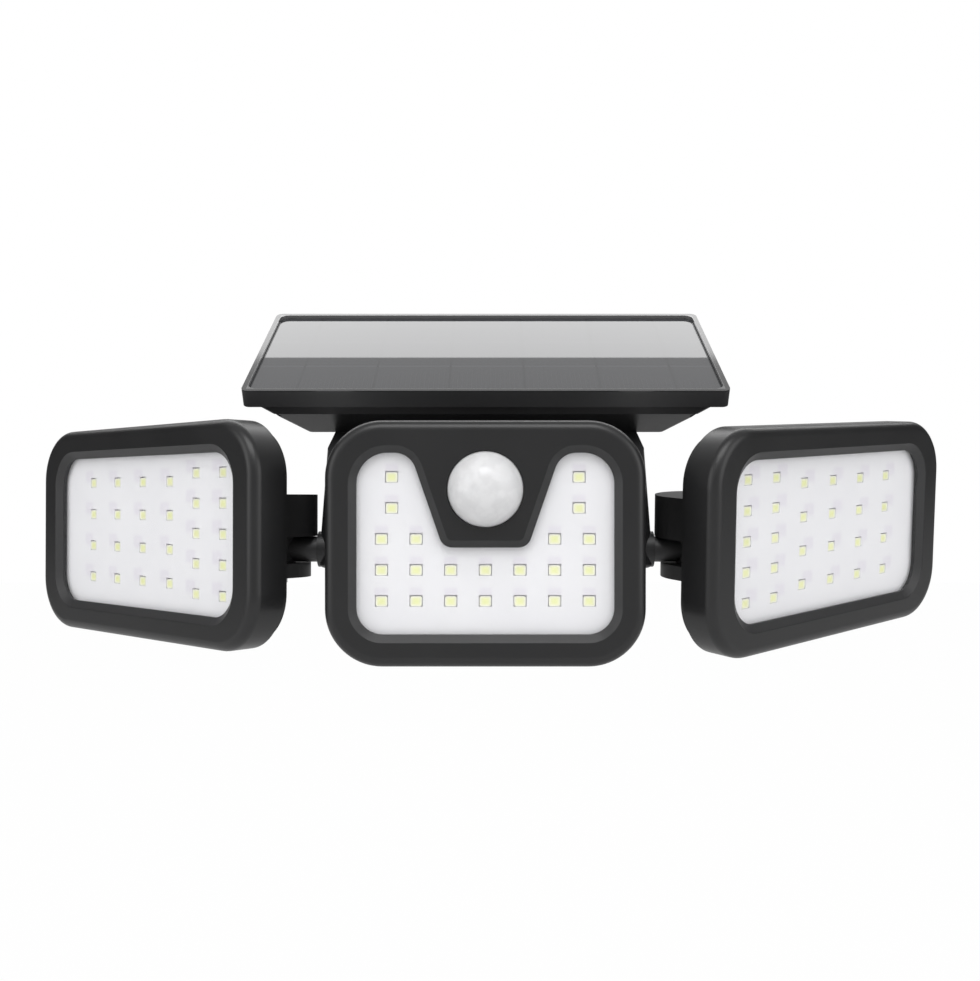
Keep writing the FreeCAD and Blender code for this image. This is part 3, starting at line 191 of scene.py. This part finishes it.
class Finish(Graph):
    """One material: its principled shader, and what varies over its surface."""

    def __init__(self, name, color, roughness, **constants):
        self.material = bpy.data.materials.new(name)
        self.material.use_nodes = True
        super().__init__(self.material.node_tree)
        self.shader = self.tree.nodes["Principled BSDF"]
        self.set("Base Color", (*color, 1.0))
        self.set("Roughness", roughness)
        for socket, value in constants.items():
            self.set(socket.replace("_", " "), value)

    def set(self, socket, value):
        """Gives the shader's socket a plain value, or links what was worked out to it."""
        entry = self.shader.inputs[socket]
        if isinstance(value, Number):
            self.tree.links.new(value.socket, entry)
        else:
            entry.default_value = value

    def place(self, own_frame=None, stretch=(1.0, 1.0, 1.0)):
        """The point on the surface, in metres, in the light's frame or in a frame of its own."""
        point = self.node("ShaderNodeTexCoord", output="Object")
        back = own_frame.inverted() if own_frame else Matrix.Identity(4)
        return self.node("ShaderNodeMapping", {"Vector": point, "Location": back.to_translation(),
                                               "Rotation": back.to_euler("XYZ"),
                                               "Scale": stretch})

    def noise(self, scale, detail=2.0, point=None):
        """Cloudy variation from 0 to 1; scale is in waves to the metre."""
        where = point or self.place()
        return self.node("ShaderNodeTexNoise", {"Vector": where, "Scale": scale, "Detail": detail})

    def blend(self, amount, low, high):
        """A colour between two, by an amount from 0 to 1."""
        pair = [color if isinstance(color, Number) else (*color, 1.0) for color in (low, high)]
        return self.node("ShaderNodeMix", {"Factor": amount, 6: pair[0], 7: pair[1]},
                         output=2, data_type="RGBA")

    def relief(self, height, depth):
        """Turns a height from 0 to 1 into small relief of a depth in metres."""
        self.set("Normal", self.node("ShaderNodeBump", {"Height": height, "Distance": depth}))

    def end_in(self, shader):
        """Ends the material in another shader than its principled one."""
        self.node("ShaderNodeOutputMaterial", (shader,))
        self.tree.nodes.remove(self.tree.nodes["Material Output"])


# ---------------------------------------------------------------- finishes

BLACK = (0.0105, 0.0105, 0.011)
GRAIN_SCALE, GRAIN_DEPTH = 2600.0, 0.000012


def moulded_plastic(name, color, roughness):
    """Satin moulded plastic: fine spark-eroded grain, and a slow drift of gloss and shade."""
    finish = Finish(name, color, roughness, IOR=1.46)
    drift = finish.noise(38.0, 3.0)
    finish.shade = finish.blend(drift, color, tuple(channel * 1.35 + 0.002 for channel in color))
    finish.gloss = roughness - 0.05 + 0.1 * drift
    finish.set("Base Color", finish.shade)
    finish.set("Roughness", finish.gloss)
    finish.relief(finish.noise(GRAIN_SCALE), GRAIN_DEPTH)
    return finish


def bezel_plastic(name):
    """A bezel: satin black, and more matt and lighter on the sloped band round the window."""
    finish = moulded_plastic(f"{name}_bezel_black", BLACK, 0.32)
    x, y, z = finish.axes(finish.place(HEADS[name]))
    half_width, half_height = WINDOWS[name]
    behind_front = y > 0.0001
    band = behind_front * (abs(x) < half_width) * (abs(z) < half_height)
    finish.set("Base Color", finish.blend(band, finish.shade, (0.027, 0.027, 0.028)))
    finish.set("Roughness", finish.gloss + 0.12 * band)
    return finish


def tray_plastic():
    """The tray: satin black, polished on the top of its rim, drawn lighter than the bezels' black
    as painted light, and pale on the inner edge of its recess as a painted sheen.
    """
    inner_half_width, middle, inner_half_length, inner_wall_depth = 0.0794, 0.0353, 0.0337, 0.0030
    # painted light: the same black plastic as the bezels, drawn lighter to brighten the tray
    finish = moulded_plastic("tray_black", (0.031, 0.031, 0.032), 0.42)
    x, y, height = finish.axes(finish.place(tray_frame()))
    inside = ((abs(x) < inner_half_width) * (abs(y - middle) < inner_half_length)
              * (height > -inner_wall_depth))
    rim_top = finish.rise(height, -0.0006, -0.0002)
    polished = finish.larger(rim_top, inside)
    # painted sheen: the inner wall of the recess drawn pale
    finish.set("Base Color", finish.blend(inside, finish.shade, (0.15, 0.15, 0.153)))
    finish.set("Roughness", finish.gloss * (1.0 - 0.85 * polished))
    finish.relief(finish.noise(GRAIN_SCALE) * (1.0 - polished), GRAIN_DEPTH)
    return finish


def clear_plastic():
    """The lens: clear, polished, hardly to be seen but for its gloss."""
    return Finish("clear_lens", (0.95, 0.95, 0.97), 0.04, IOR=1.49, Alpha=0.06)


def white_plastic(name):
    """White moulded plastic, faintly cool, with a soft drift of shade."""
    finish = Finish(name, (0.89, 0.89, 0.91), 0.45, IOR=1.46)
    drift = finish.noise(55.0)
    finish.shade = finish.blend(drift, (0.865, 0.865, 0.89), (0.91, 0.91, 0.925))
    finish.set("Base Color", finish.shade)
    finish.relief(finish.noise(1500.0), 0.000006)
    return finish


def mark_rows(finish, across, up, pitches, halves):
    """Soft oblong marks in even columns and rows, from 0 to 1, about where both values are 0."""
    blur = 0.0007
    shares = []
    for value, pitch, half in zip((across, up), pitches, halves):
        off = abs(finish.repeat(value, pitch, 0.5) - 0.5)
        shares.append(finish.rise(off, (half + blur) / pitch, (half - blur) / pitch))
    return shares[0] * shares[1]


def centre_marks(finish, x, z):
    """The painted reflections on the centre head's plate, each a little above its chip.

    The third row is drawn right across, as the two below it are: the tongue hides its middle.
    """
    halves, above, pairs_begin = (0.0020, 0.0015), 0.0026, 0.0082
    second_row = TOP_ROW - ROW_PITCH + above
    third_row = TOP_ROW - 2 * ROW_PITCH + above
    lower = mark_rows(finish, x, z - third_row, (COLUMN_PITCH, ROW_PITCH), halves)
    pairs = mark_rows(finish, abs(x) - UPPER_PAIR, z - second_row, (2 * UPPER_PAIR, ROW_PITCH),
                      halves)
    return lower + (z > pairs_begin) * (pairs - lower)


def side_marks(finish, inward, z):
    """The painted reflections on a side head's plate, each a little outwards from its chip and
    above it.
    """
    halves, outwards, above, outermost = (0.0027, 0.0021), 0.0030, 0.0024, -0.0430
    inward = inward + outwards
    fours = mark_rows(finish, inward - (CHIPS_INWARD - HALF_GROUP_GAP),
                      z - (FOUR_ROW_PITCH / 2 + above), (FOUR_PITCH, FOUR_ROW_PITCH), halves)
    fives = mark_rows(finish, inward - (CHIPS_INWARD + HALF_GROUP_GAP), z - above,
                      (FIVE_PITCH, FIVE_ROW_PITCH), halves)
    return (fours + (inward > CHIPS_INWARD) * (fives - fours)) * (inward > outermost)


def white_plate(name):
    """The plate round the chips: white, with a faint lavender mark beside each chip.

    The marks stand for the chips' mirror images in the window, as seen from in front.
    """
    lavender, strength, lowest_mark = (0.815, 0.79, 0.85), 0.8, -0.0200
    finish = white_plastic(f"{name}_white_plate")
    x, _, z = finish.axes(finish.place(HEADS[name]))
    if name == "centre":
        marks = centre_marks(finish, x, z)
    else:
        marks = side_marks(finish, x * INWARD[name], z)
    marks = marks * (z > lowest_mark)
    # painted reflection: the lavender marks blended into the plate's white
    finish.set("Base Color", finish.blend(marks * strength, finish.shade, lavender))
    return finish


def phosphor():
    """Light chips: a white frame round pale yellow phosphor, uneven from chip to chip."""
    finish = Finish("chip_phosphor", (0.86, 0.88, 0.40), 0.25, Coat_Weight=0.6,
                    Coat_Roughness=0.08)
    tone = finish.noise(95.0, 1.0)
    yellow = finish.blend(tone, (0.90, 0.95, 0.40), (0.95, 0.96, 0.52))
    share = finish.node("ShaderNodeAttribute", output="Fac", attribute_name="phosphor")
    finish.set("Base Color", finish.blend(share, (0.95, 0.95, 0.86), yellow))
    return finish


def soft_rubber(name, color):
    """Matt rubber with a fine bloom."""
    finish = Finish(name, color, 0.75)
    finish.set("Roughness", 0.68 + 0.16 * finish.noise(220.0, 3.0))
    finish.relief(finish.noise(1800.0), 0.00001)
    return finish


def plated_steel(name, color=(0.62, 0.62, 0.64), roughness=0.28):
    """Plated steel with a faint turned streak."""
    finish = Finish(name, color, roughness, Metallic=1.0)
    streak = finish.noise(900.0, point=finish.place(stretch=(1.0, 1.0, 0.12)))
    finish.set("Roughness", roughness - 0.06 + 0.14 * streak)
    return finish


def circuit_board(name, color):
    """A circuit board under solder mask."""
    finish = Finish(name, color, 0.35, Coat_Weight=0.3)
    finish.set("Base Color", finish.blend(finish.noise(400.0, 3.0), color,
                                          tuple(min(channel * 1.2, 1.0) for channel in color)))
    return finish


def frosted_dome():
    """Frosted translucent plastic of the sensor's dome, a little cloudy."""
    finish = Finish("frosted_dome", (0.80, 0.80, 0.81), 0.32, IOR=1.5, Subsurface_Weight=0.3,
                    Subsurface_Radius=(0.003, 0.003, 0.003), Subsurface_Scale=1.0,
                    Coat_Weight=0.5, Coat_Roughness=0.14)
    cloud = finish.noise(260.0)
    finish.set("Base Color", finish.blend(finish.rise(cloud, 0.38, 0.62), (0.745, 0.745, 0.755),
                                          (0.80, 0.80, 0.81)))
    return finish


def panel_face(name, dark, silver, roughness):
    """Dark solar cells with thin silver fingers, wider collector bars and gaps between them.

    The glass over them is drawn opaque and shows them too, so it has this finish as well.
    """
    finger_pitch, bar_pitch, cell_width = 0.0016, 0.0221, 0.0254
    finger_share, bar_share, gap_share = 0.09, 0.06, 0.03
    finish = Finish(name, dark, roughness, IOR=1.52)
    x, y, _ = finish.axes(finish.place(tray_frame()))
    finger = finish.repeat(x, finger_pitch) < finger_share
    bar = finish.repeat(y, bar_pitch) < bar_share
    gap = finish.repeat(x, cell_width, 0.5) < gap_share
    cells = finish.blend(finish.larger(finger * 0.5, bar * 0.9), dark, silver)
    finish.set("Base Color", finish.blend(gap, cells, tuple(0.75 * channel for channel in dark)))
    return finish


def battery_sleeve():
    """Shrunk sleeve of the battery cell."""
    finish = Finish("battery_sleeve", (0.06, 0.16, 0.46), 0.3, Coat_Weight=0.3)
    finish.set("Roughness", 0.24 + 0.14 * finish.noise(160.0))
    return finish


FINISHES = {
    "black_plastic": moulded_plastic("black_satin", BLACK, 0.42),
    "clear_plastic": clear_plastic(),
    "white_plastic": white_plastic("white_plastic"),
    "led_phosphor": phosphor(),
    "white_board": circuit_board("white_board", (0.72, 0.72, 0.73)),
    "green_board": circuit_board("green_board", (0.03, 0.16, 0.07)),
    "seal_rubber": soft_rubber("seal_rubber", (0.018, 0.018, 0.018)),
    "frosted_plastic": frosted_dome(),
    "can_metal": plated_steel("can_metal", (0.72, 0.72, 0.72), 0.3),
    "screw_steel": plated_steel("screw_steel"),
    "battery_wrap": battery_sleeve(),
    "panel_glass": panel_face("panel_glass", (0.042, 0.043, 0.047), (0.056, 0.057, 0.062), 0.012),
    "panel_cells": panel_face("panel_cells", (0.012, 0.014, 0.026), (0.20, 0.21, 0.23), 0.25),
    "button_rubber": soft_rubber("button_rubber", (0.03, 0.03, 0.032)),
}
OWN_FINISHES = {f"{name}_bezel": bezel_plastic(name) for name in HEADS}
OWN_FINISHES |= {f"{name}_reflector": white_plate(name) for name in HEADS}
# painted light: the arms, the same black plastic as the bezels, drawn lighter
OWN_FINISHES |= {f"{side}_arm": moulded_plastic(f"{side}_arm_black", (0.040, 0.040, 0.041), 0.42)
                 for side in INWARD}
# painted light: the housing, the same black plastic as the bezels, drawn lighter
OWN_FINISHES["base_housing"] = moulded_plastic("housing_black", (0.021, 0.021, 0.022), 0.40)
OWN_FINISHES["panel_tray"] = tray_plastic()


def dress_nodes():
    """Gives every node its own finish, or that of its material slot."""
    for entry in frame["record"]["subparts"]:
        name = entry["node"]
        finish = OWN_FINISHES.get(name) or FINISHES[entry["material_slot"]]
        mesh = nodes[name].data
        mesh.materials.clear()
        mesh.materials.append(finish.material)


# ---------------------------------------------------------------- pieces made as surfaces

def closed_rings(rings):
    """Faces between rings that close on themselves, and a flat cap on the first and the last."""
    rows, columns = rings.shape[:2]
    row, column = np.mgrid[0:rows - 1, 0:columns]
    after = (column + 1) % columns
    quads = np.stack([row * columns + column, row * columns + after,
                      (row + 1) * columns + after, (row + 1) * columns + column], axis=-1)
    first = np.arange(columns)[::-1]
    return quads.reshape(-1, 4).tolist() + [first.tolist(), (first + (rows - 1) * columns).tolist()]


def moved(points, matrix):
    """Points carried from a frame of their own by a 4 by 4 matrix."""
    turn = np.array(matrix.to_3x3())
    return points @ turn.T + np.array(matrix.to_translation())


def add_piece(name, shapes, body, node, value=None):
    """One object made of several ring surfaces, which stands for a node and takes its slot.

    shapes holds arrays of rows of rings of points; value, if given, holds the "phosphor" share
    of every point of one such array, which is the same for all of them.
    """
    points, polygons, start = [], [], 0
    for rings in shapes:
        polygons += [[start + corner for corner in face] for face in closed_rings(rings)]
        points.append(rings.reshape(-1, 3))
        start += len(points[-1])
    mesh = bpy.data.meshes.new(name)
    mesh.from_pydata(np.concatenate(points).tolist(), [], polygons)
    build = bmesh.new()
    build.from_mesh(mesh)
    bmesh.ops.recalc_face_normals(build, faces=build.faces)
    build.to_mesh(mesh)
    build.free()
    if value is not None:
        layer = mesh.attributes.new("phosphor", "FLOAT", "POINT")
        layer.data.foreach_set("value", np.tile(value.reshape(-1), len(shapes)))
    slot = next(entry["material_slot"] for entry in frame["record"]["subparts"]
                if entry["node"] == node)
    mesh.materials.append(FINISHES[slot].material)
    mesh.shade_smooth()
    mesh.set_sharp_from_angle(angle=math.radians(35.0))
    piece = bpy.data.objects.new(name, mesh)
    bpy.context.scene.collection.objects.link(piece)
    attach(piece, body)
    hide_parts(node)


# for each ring, its size and its height as shares of the chip's, and its share of phosphor
CHIP_RINGS = ((1.0, 0.0, 0.0), (1.0, 0.93, 0.0), (0.96, 1.00, 0.05), (0.88, 1.00, 0.20),
              (0.80, 0.96, 0.42), (0.62, 0.97, 0.62), (0.42, 0.98, 0.90), (0.15, 0.99, 1.0))
CHIP_HEIGHT = 0.00125


def chip_rings(width, height_up):
    """One light chip, its back on y = 0, and the phosphor share of its points.

    Each ring is a rounded rectangle: half the width times the cosine, and half the height times
    the sine, each raised to the power 0.3 with its sign kept, drawn in by the ring's share.
    """
    turn = np.linspace(0.0, 2.0 * np.pi, 20, endpoint=False) + np.pi / 20.0
    across = np.sign(np.cos(turn)) * np.abs(np.cos(turn)) ** 0.3 * width / 2.0
    up = np.sign(np.sin(turn)) * np.abs(np.sin(turn)) ** 0.3 * height_up / 2.0
    share, height, glow = np.array(CHIP_RINGS).T[:, :, None]
    rings = np.stack([share * across, -CHIP_HEIGHT * height + 0.0 * across, share * up], axis=-1)
    return rings, glow + 0.0 * across


def chip_places(name):
    """Where the chips sit on a head's face, as x and z, in even columns and rows."""
    if name == "centre":
        columns = [[-UPPER_PAIR, UPPER_PAIR]] * 2 + [[COLUMN_PITCH * k for k in (-3, -2, 2, 3)]]
        columns += [[COLUMN_PITCH * k for k in range(-3, 4)]] * 2
        return [(x, TOP_ROW - ROW_PITCH * row)
                for row, across in enumerate(columns) for x in across]
    places = []
    for column in range(6):
        if column < 4:
            outward = HALF_GROUP_GAP + FOUR_PITCH * (3 - column)
            rows, pitch = 4, FOUR_ROW_PITCH
        else:
            outward = -HALF_GROUP_GAP - FIVE_PITCH * (column - 4)
            rows, pitch = 5, FIVE_ROW_PITCH
        places += [(-INWARD[name] * (outward - CHIPS_INWARD), pitch * ((rows - 1) / 2 - row))
                   for row in range(rows)]
    return places


def make_chips():
    """The chips of each head, on its board."""
    centre_width, side_width, height_up = 0.0036, 0.0039, 0.0031
    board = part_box("centre_chips")[1][1] - HEADS["centre"].to_translation().y
    for name, own in HEADS.items():
        rings, glow = chip_rings(centre_width if name == "centre" else side_width, height_up)
        shapes = [moved(rings + np.array((x, board, z)), own) for x, z in chip_places(name)]
        add_piece(f"{name}_light_chips", shapes, f"{name}_head", f"{name}_chips", glow)


# rings of facets: the angle from the dome's axis in degrees, and the count
FACET_RINGS = ((0.0, 1), (27.0, 6), (50.0, 11), (71.0, 15))


def facet_middles():
    """Directions of the dome's facets: rings of them about its axis, each at one angle to it."""
    middles = []
    for degrees, count in FACET_RINGS:
        slope = math.radians(degrees)
        turn = np.arange(count) * 2.0 * np.pi / count + slope
        middles.append(np.stack([np.sin(slope) * np.cos(turn), -np.cos(slope) + 0.0 * turn,
                                 np.sin(slope) * np.sin(turn)], axis=-1))
    return np.concatenate(middles)


def make_dome():
    """The sensor's dome: part of a ball, cut into facets that each bulge a little, over a lip.

    A point on the ball lies further out, the nearer it is to the middle of its facet: by the
    bulge times one less the square of that angle over the facet's half angle.  The inner side
    is part of a smaller ball.
    """
    radius, reach, wall, bulge, half = 0.0115, 0.0086, 0.0009, 0.00016, math.radians(16.0)
    ball = (radius ** 2 + reach ** 2) / (2.0 * reach)
    lip_radius, lip_front, lip_back, middle_up = 0.0127, 0.0026, 0.0036, 0.0164
    turn = np.linspace(0.0, 2.0 * np.pi, 120, endpoint=False)
    slope = np.linspace(0.01, math.asin(radius / ball), 46)[:, None]
    aim = np.stack([np.sin(slope) * np.cos(turn), -np.cos(slope) + 0.0 * turn,
                    np.sin(slope) * np.sin(turn)], axis=-1)
    nearest = np.arccos(np.clip(aim @ facet_middles().T, -1.0, 1.0)).min(axis=-1)
    fade = np.clip((slope[-1] - slope) / 0.12, 0.0, 1.0)
    outer = aim * (ball + (bulge * (1.0 - (nearest / half) ** 2) * fade - bulge)[..., None])
    outer[..., 1] += ball - reach
    edge = [(radius, lip_front), (lip_radius, lip_front), (lip_radius, lip_back),
            (radius - wall, lip_back)]
    lip = np.stack([np.stack([r * np.cos(turn), y + 0.0 * turn, r * np.sin(turn)], axis=-1)
                    for r, y in edge])
    inner = aim[::-2] * (ball - wall)
    inner[..., 1] += ball - reach
    shape = np.concatenate([outer, lip, inner]) + np.array((0.0, 0.0, middle_up))
    add_piece("faceted_dome", [moved(shape, HEADS["centre"])], "centre_head", "sensor_dome")


def screw_rings(head_radius, head_height, shaft_radius, shaft_length):
    """A screw along z with a crowned head on z = 0 and a cross recess in it.

    The head's top is a shallow cap less the recess: its depth times the larger of two crossed
    bars, each a product of two clipped ramps, one across the bar and one along it.
    """
    bar_half_width, bar_reach, crown, recess = 0.15, 0.62, 0.34, 0.55
    turn = np.linspace(0.0, 2.0 * np.pi, 48, endpoint=False)
    out = np.concatenate([np.linspace(0.03, 0.86, 14), [0.95, 1.0]])[:, None]
    x, y = out * np.cos(turn), out * np.sin(turn)
    bars = []
    for across, along in ((x, y), (y, x)):
        near_middle = np.clip((bar_half_width - np.abs(across)) / 0.08 + 0.5, 0, 1)
        near_centre = np.clip((bar_reach - np.abs(along)) / 0.2 + 0.5, 0, 1)
        bars.append(near_middle * near_centre)
    height = head_height * (1.0 - crown * out ** 2.6 - recess * np.maximum(*bars))
    top = np.stack([x * head_radius, y * head_radius, height], axis=-1)
    side = [(head_radius, head_height * 0.3), (head_radius, 0.0), (shaft_radius, 0.0),
            (shaft_radius, -shaft_length * 0.96), (shaft_radius * 0.7, -shaft_length)]
    rest = np.stack([np.stack([r * np.cos(turn), r * np.sin(turn), z + 0.0 * turn], axis=-1)
                     for r, z in side])
    return np.concatenate([top, rest])


def make_screws():
    """The screws whose heads show: behind each head, on each knuckle and under the housing."""
    case_head, housing_head = 0.0016, 0.0018
    knuckle_top, housing_x, housing_y = 0.01285, 0.036, -0.008
    case = screw_rings(head_radius=0.0021, head_height=case_head, shaft_radius=0.0011,
                       shaft_length=0.005)
    back = Matrix.Rotation(-math.pi / 2, 4, "X")
    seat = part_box("centre_case_screws")[1][1] - HEADS["centre"].to_translation().y - case_head
    for name, own in HEADS.items():
        x, z = SCREW_PLACES[name]
        shapes = [moved(case, own @ Matrix.Translation((a * x, seat, b * z)) @ back)
                  for a in (1, -1) for b in (1, -1)]
        add_piece(f"{name}_closing_screws", shapes, f"{name}_head", f"{name}_case_screws")
    knuckle = screw_rings(head_radius=0.0030, head_height=0.0022, shaft_radius=0.0020,
                          shaft_length=0.0298)
    for side, inward in INWARD.items():
        foot = Matrix.Translation((inward * KNUCKLE_INWARD, KNUCKLE_BACK, knuckle_top))
        add_piece(f"{side}_knuckle_bolt", [moved(knuckle, HEADS[side] @ foot)], f"{side}_head",
                  f"{side}_knuckle_screw")
    housing = screw_rings(head_radius=0.0028, head_height=housing_head, shaft_radius=0.0015,
                          shaft_length=0.008)
    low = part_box("housing_screws")[0][2] + housing_head
    down = Matrix.Rotation(math.pi, 4, "X")
    shapes = [moved(housing, Matrix.Translation((x, housing_y, low)) @ down)
              for x in (-housing_x, housing_x)]
    add_piece("floor_screws", shapes, "base", "housing_screws")


# ---------------------------------------------------------------- light, floor and camera

def plain_stage(name, corners, finish):
    """A flat four-cornered sheet of the studio, not part of the object."""
    mesh = bpy.data.meshes.new(name)
    mesh.from_pydata(corners, [], [(0, 1, 2, 3)])
    mesh.materials.append(finish.material)
    sheet = bpy.data.objects.new(name, mesh)
    bpy.context.scene.collection.objects.link(sheet)
    return sheet


def make_floor():
    """A pale floor below, which looks white to the camera and keeps a soft shadow."""
    low, reach, whiteness = -0.30, 3.0, 0.98
    finish = Finish("pale_floor", (0.85, 0.85, 0.85), 0.9)
    own = Number(finish, finish.shader.outputs[0])
    glow = finish.node("ShaderNodeEmission")
    share = finish.ray("Is Camera Ray") * whiteness
    finish.end_in(finish.node("ShaderNodeMixShader", (share, own, glow)))
    plain_stage("floor", [(-reach, -reach, low), (reach, -reach, low), (reach, reach, low),
                          (-reach, reach, low)], finish)


def make_reflected_card():
    """A bright card behind and above, which only reflections see: the panel's sheen.

    Its top edge shows in the panel as the line between the light part and the dark part.
    """
    back, low, high, half, strength = 1.0, 1.0, 1.4616, 1.6, 3.55
    finish = Finish("bright_card", (0.8, 0.8, 0.8), 0.9)
    finish.end_in(finish.node("ShaderNodeEmission", {"Strength": strength}))
    card = plain_stage("card", [(-half, back, low), (half, back, low), (half, back, high),
                                (-half, back, high)], finish)
    card.visible_camera = False
    card.visible_diffuse = False
    card.visible_transmission = False
    card.visible_shadow = False


def make_world():
    """White to the camera, even light all round, and for reflections a studio of its own.

    In reflections it is bright in front, less so near the camera, and above, more so towards
    the wall, and half as bright on the wall's own side.
    """
    world = bpy.data.worlds.new("studio")
    bpy.context.scene.world = world
    world.use_nodes = True
    graph = Graph(world.node_tree)
    graph.tree.nodes.clear()
    _, ahead, up = graph.axes(graph.node("ShaderNodeTexCoord", output="Generated"))
    near = 0.0 - ahead
    front = graph.rise(near, -0.05, 0.40) - 0.55 * graph.rise(near, 0.80, 0.97)
    above = graph.rise(up, 0.35, 0.80) * (0.50 + 0.50 * graph.rise(ahead, 0.30, 0.55))
    behind = 0.5 * graph.rise(ahead, 0.55, 0.90)
    bright = graph.larger(graph.larger(front, above), behind)
    shiny = graph.node("ShaderNodeBackground", {"Strength": 0.06 + 0.90 * bright})
    plain = graph.node("ShaderNodeBackground", {"Strength": 0.66})
    white = graph.node("ShaderNodeBackground", {"Strength": 1.0})
    for background in (shiny, plain, white):
        background.socket.node.inputs["Color"].default_value = (1.0, 1.0, 1.0, 1.0)
    mirrored = graph.node("ShaderNodeMixShader", (graph.ray("Is Glossy Ray"), plain, shiny))
    seen = graph.node("ShaderNodeMixShader", (graph.ray("Is Camera Ray"), mirrored, white))
    graph.node("ShaderNodeOutputWorld", (seen,))


def soft_lamp(name, place, aim, width, height, power):
    """A rectangular soft lamp at a place, aimed at a point."""
    lamp = bpy.data.lights.new(name, "AREA")
    lamp.shape = "RECTANGLE"
    lamp.size, lamp.size_y = width, height
    lamp.energy = power
    holder = bpy.data.objects.new(name, lamp)
    bpy.context.scene.collection.objects.link(holder)
    direction = Vector(aim) - Vector(place)
    holder.matrix_world = (Matrix.Translation(Vector(place))
                           @ direction.to_track_quat("-Z", "Y").to_matrix().to_4x4())


def make_lamps():
    """One broad lamp above in front, and a weaker one from each side."""
    middle = (0.0, -0.05, 0.0)
    soft_lamp("key", (0.0, -0.75, 0.95), middle, 0.9, 0.6, 5.6)
    soft_lamp("left_fill", (-1.1, -0.7, 0.3), middle, 0.7, 0.9, 2.2)
    soft_lamp("right_fill", (1.1, -0.7, 0.3), middle, 0.7, 0.9, 2.2)


def make_camera():
    """A level camera in front, as far off and as wide as the photograph was taken."""
    data = bpy.data.cameras.new("camera")
    data.sensor_fit = "HORIZONTAL"
    data.sensor_width = SENSOR
    data.lens = SENSOR * FOCAL_PIXELS / FRAME_PIXELS
    camera = bpy.data.objects.new("camera", data)
    bpy.context.scene.collection.objects.link(camera)
    camera.location = CAMERA_PLACE
    camera.rotation_euler = (math.pi / 2, 0.0, 0.0)
    bpy.context.scene.camera = camera


# ---------------------------------------------------------------- the scene

dress_nodes()
make_chips()
make_dome()
make_screws()
make_world()
make_floor()
make_reflected_card()
make_lamps()
make_camera()
bpy.context.scene.view_settings.view_transform = "Standard"
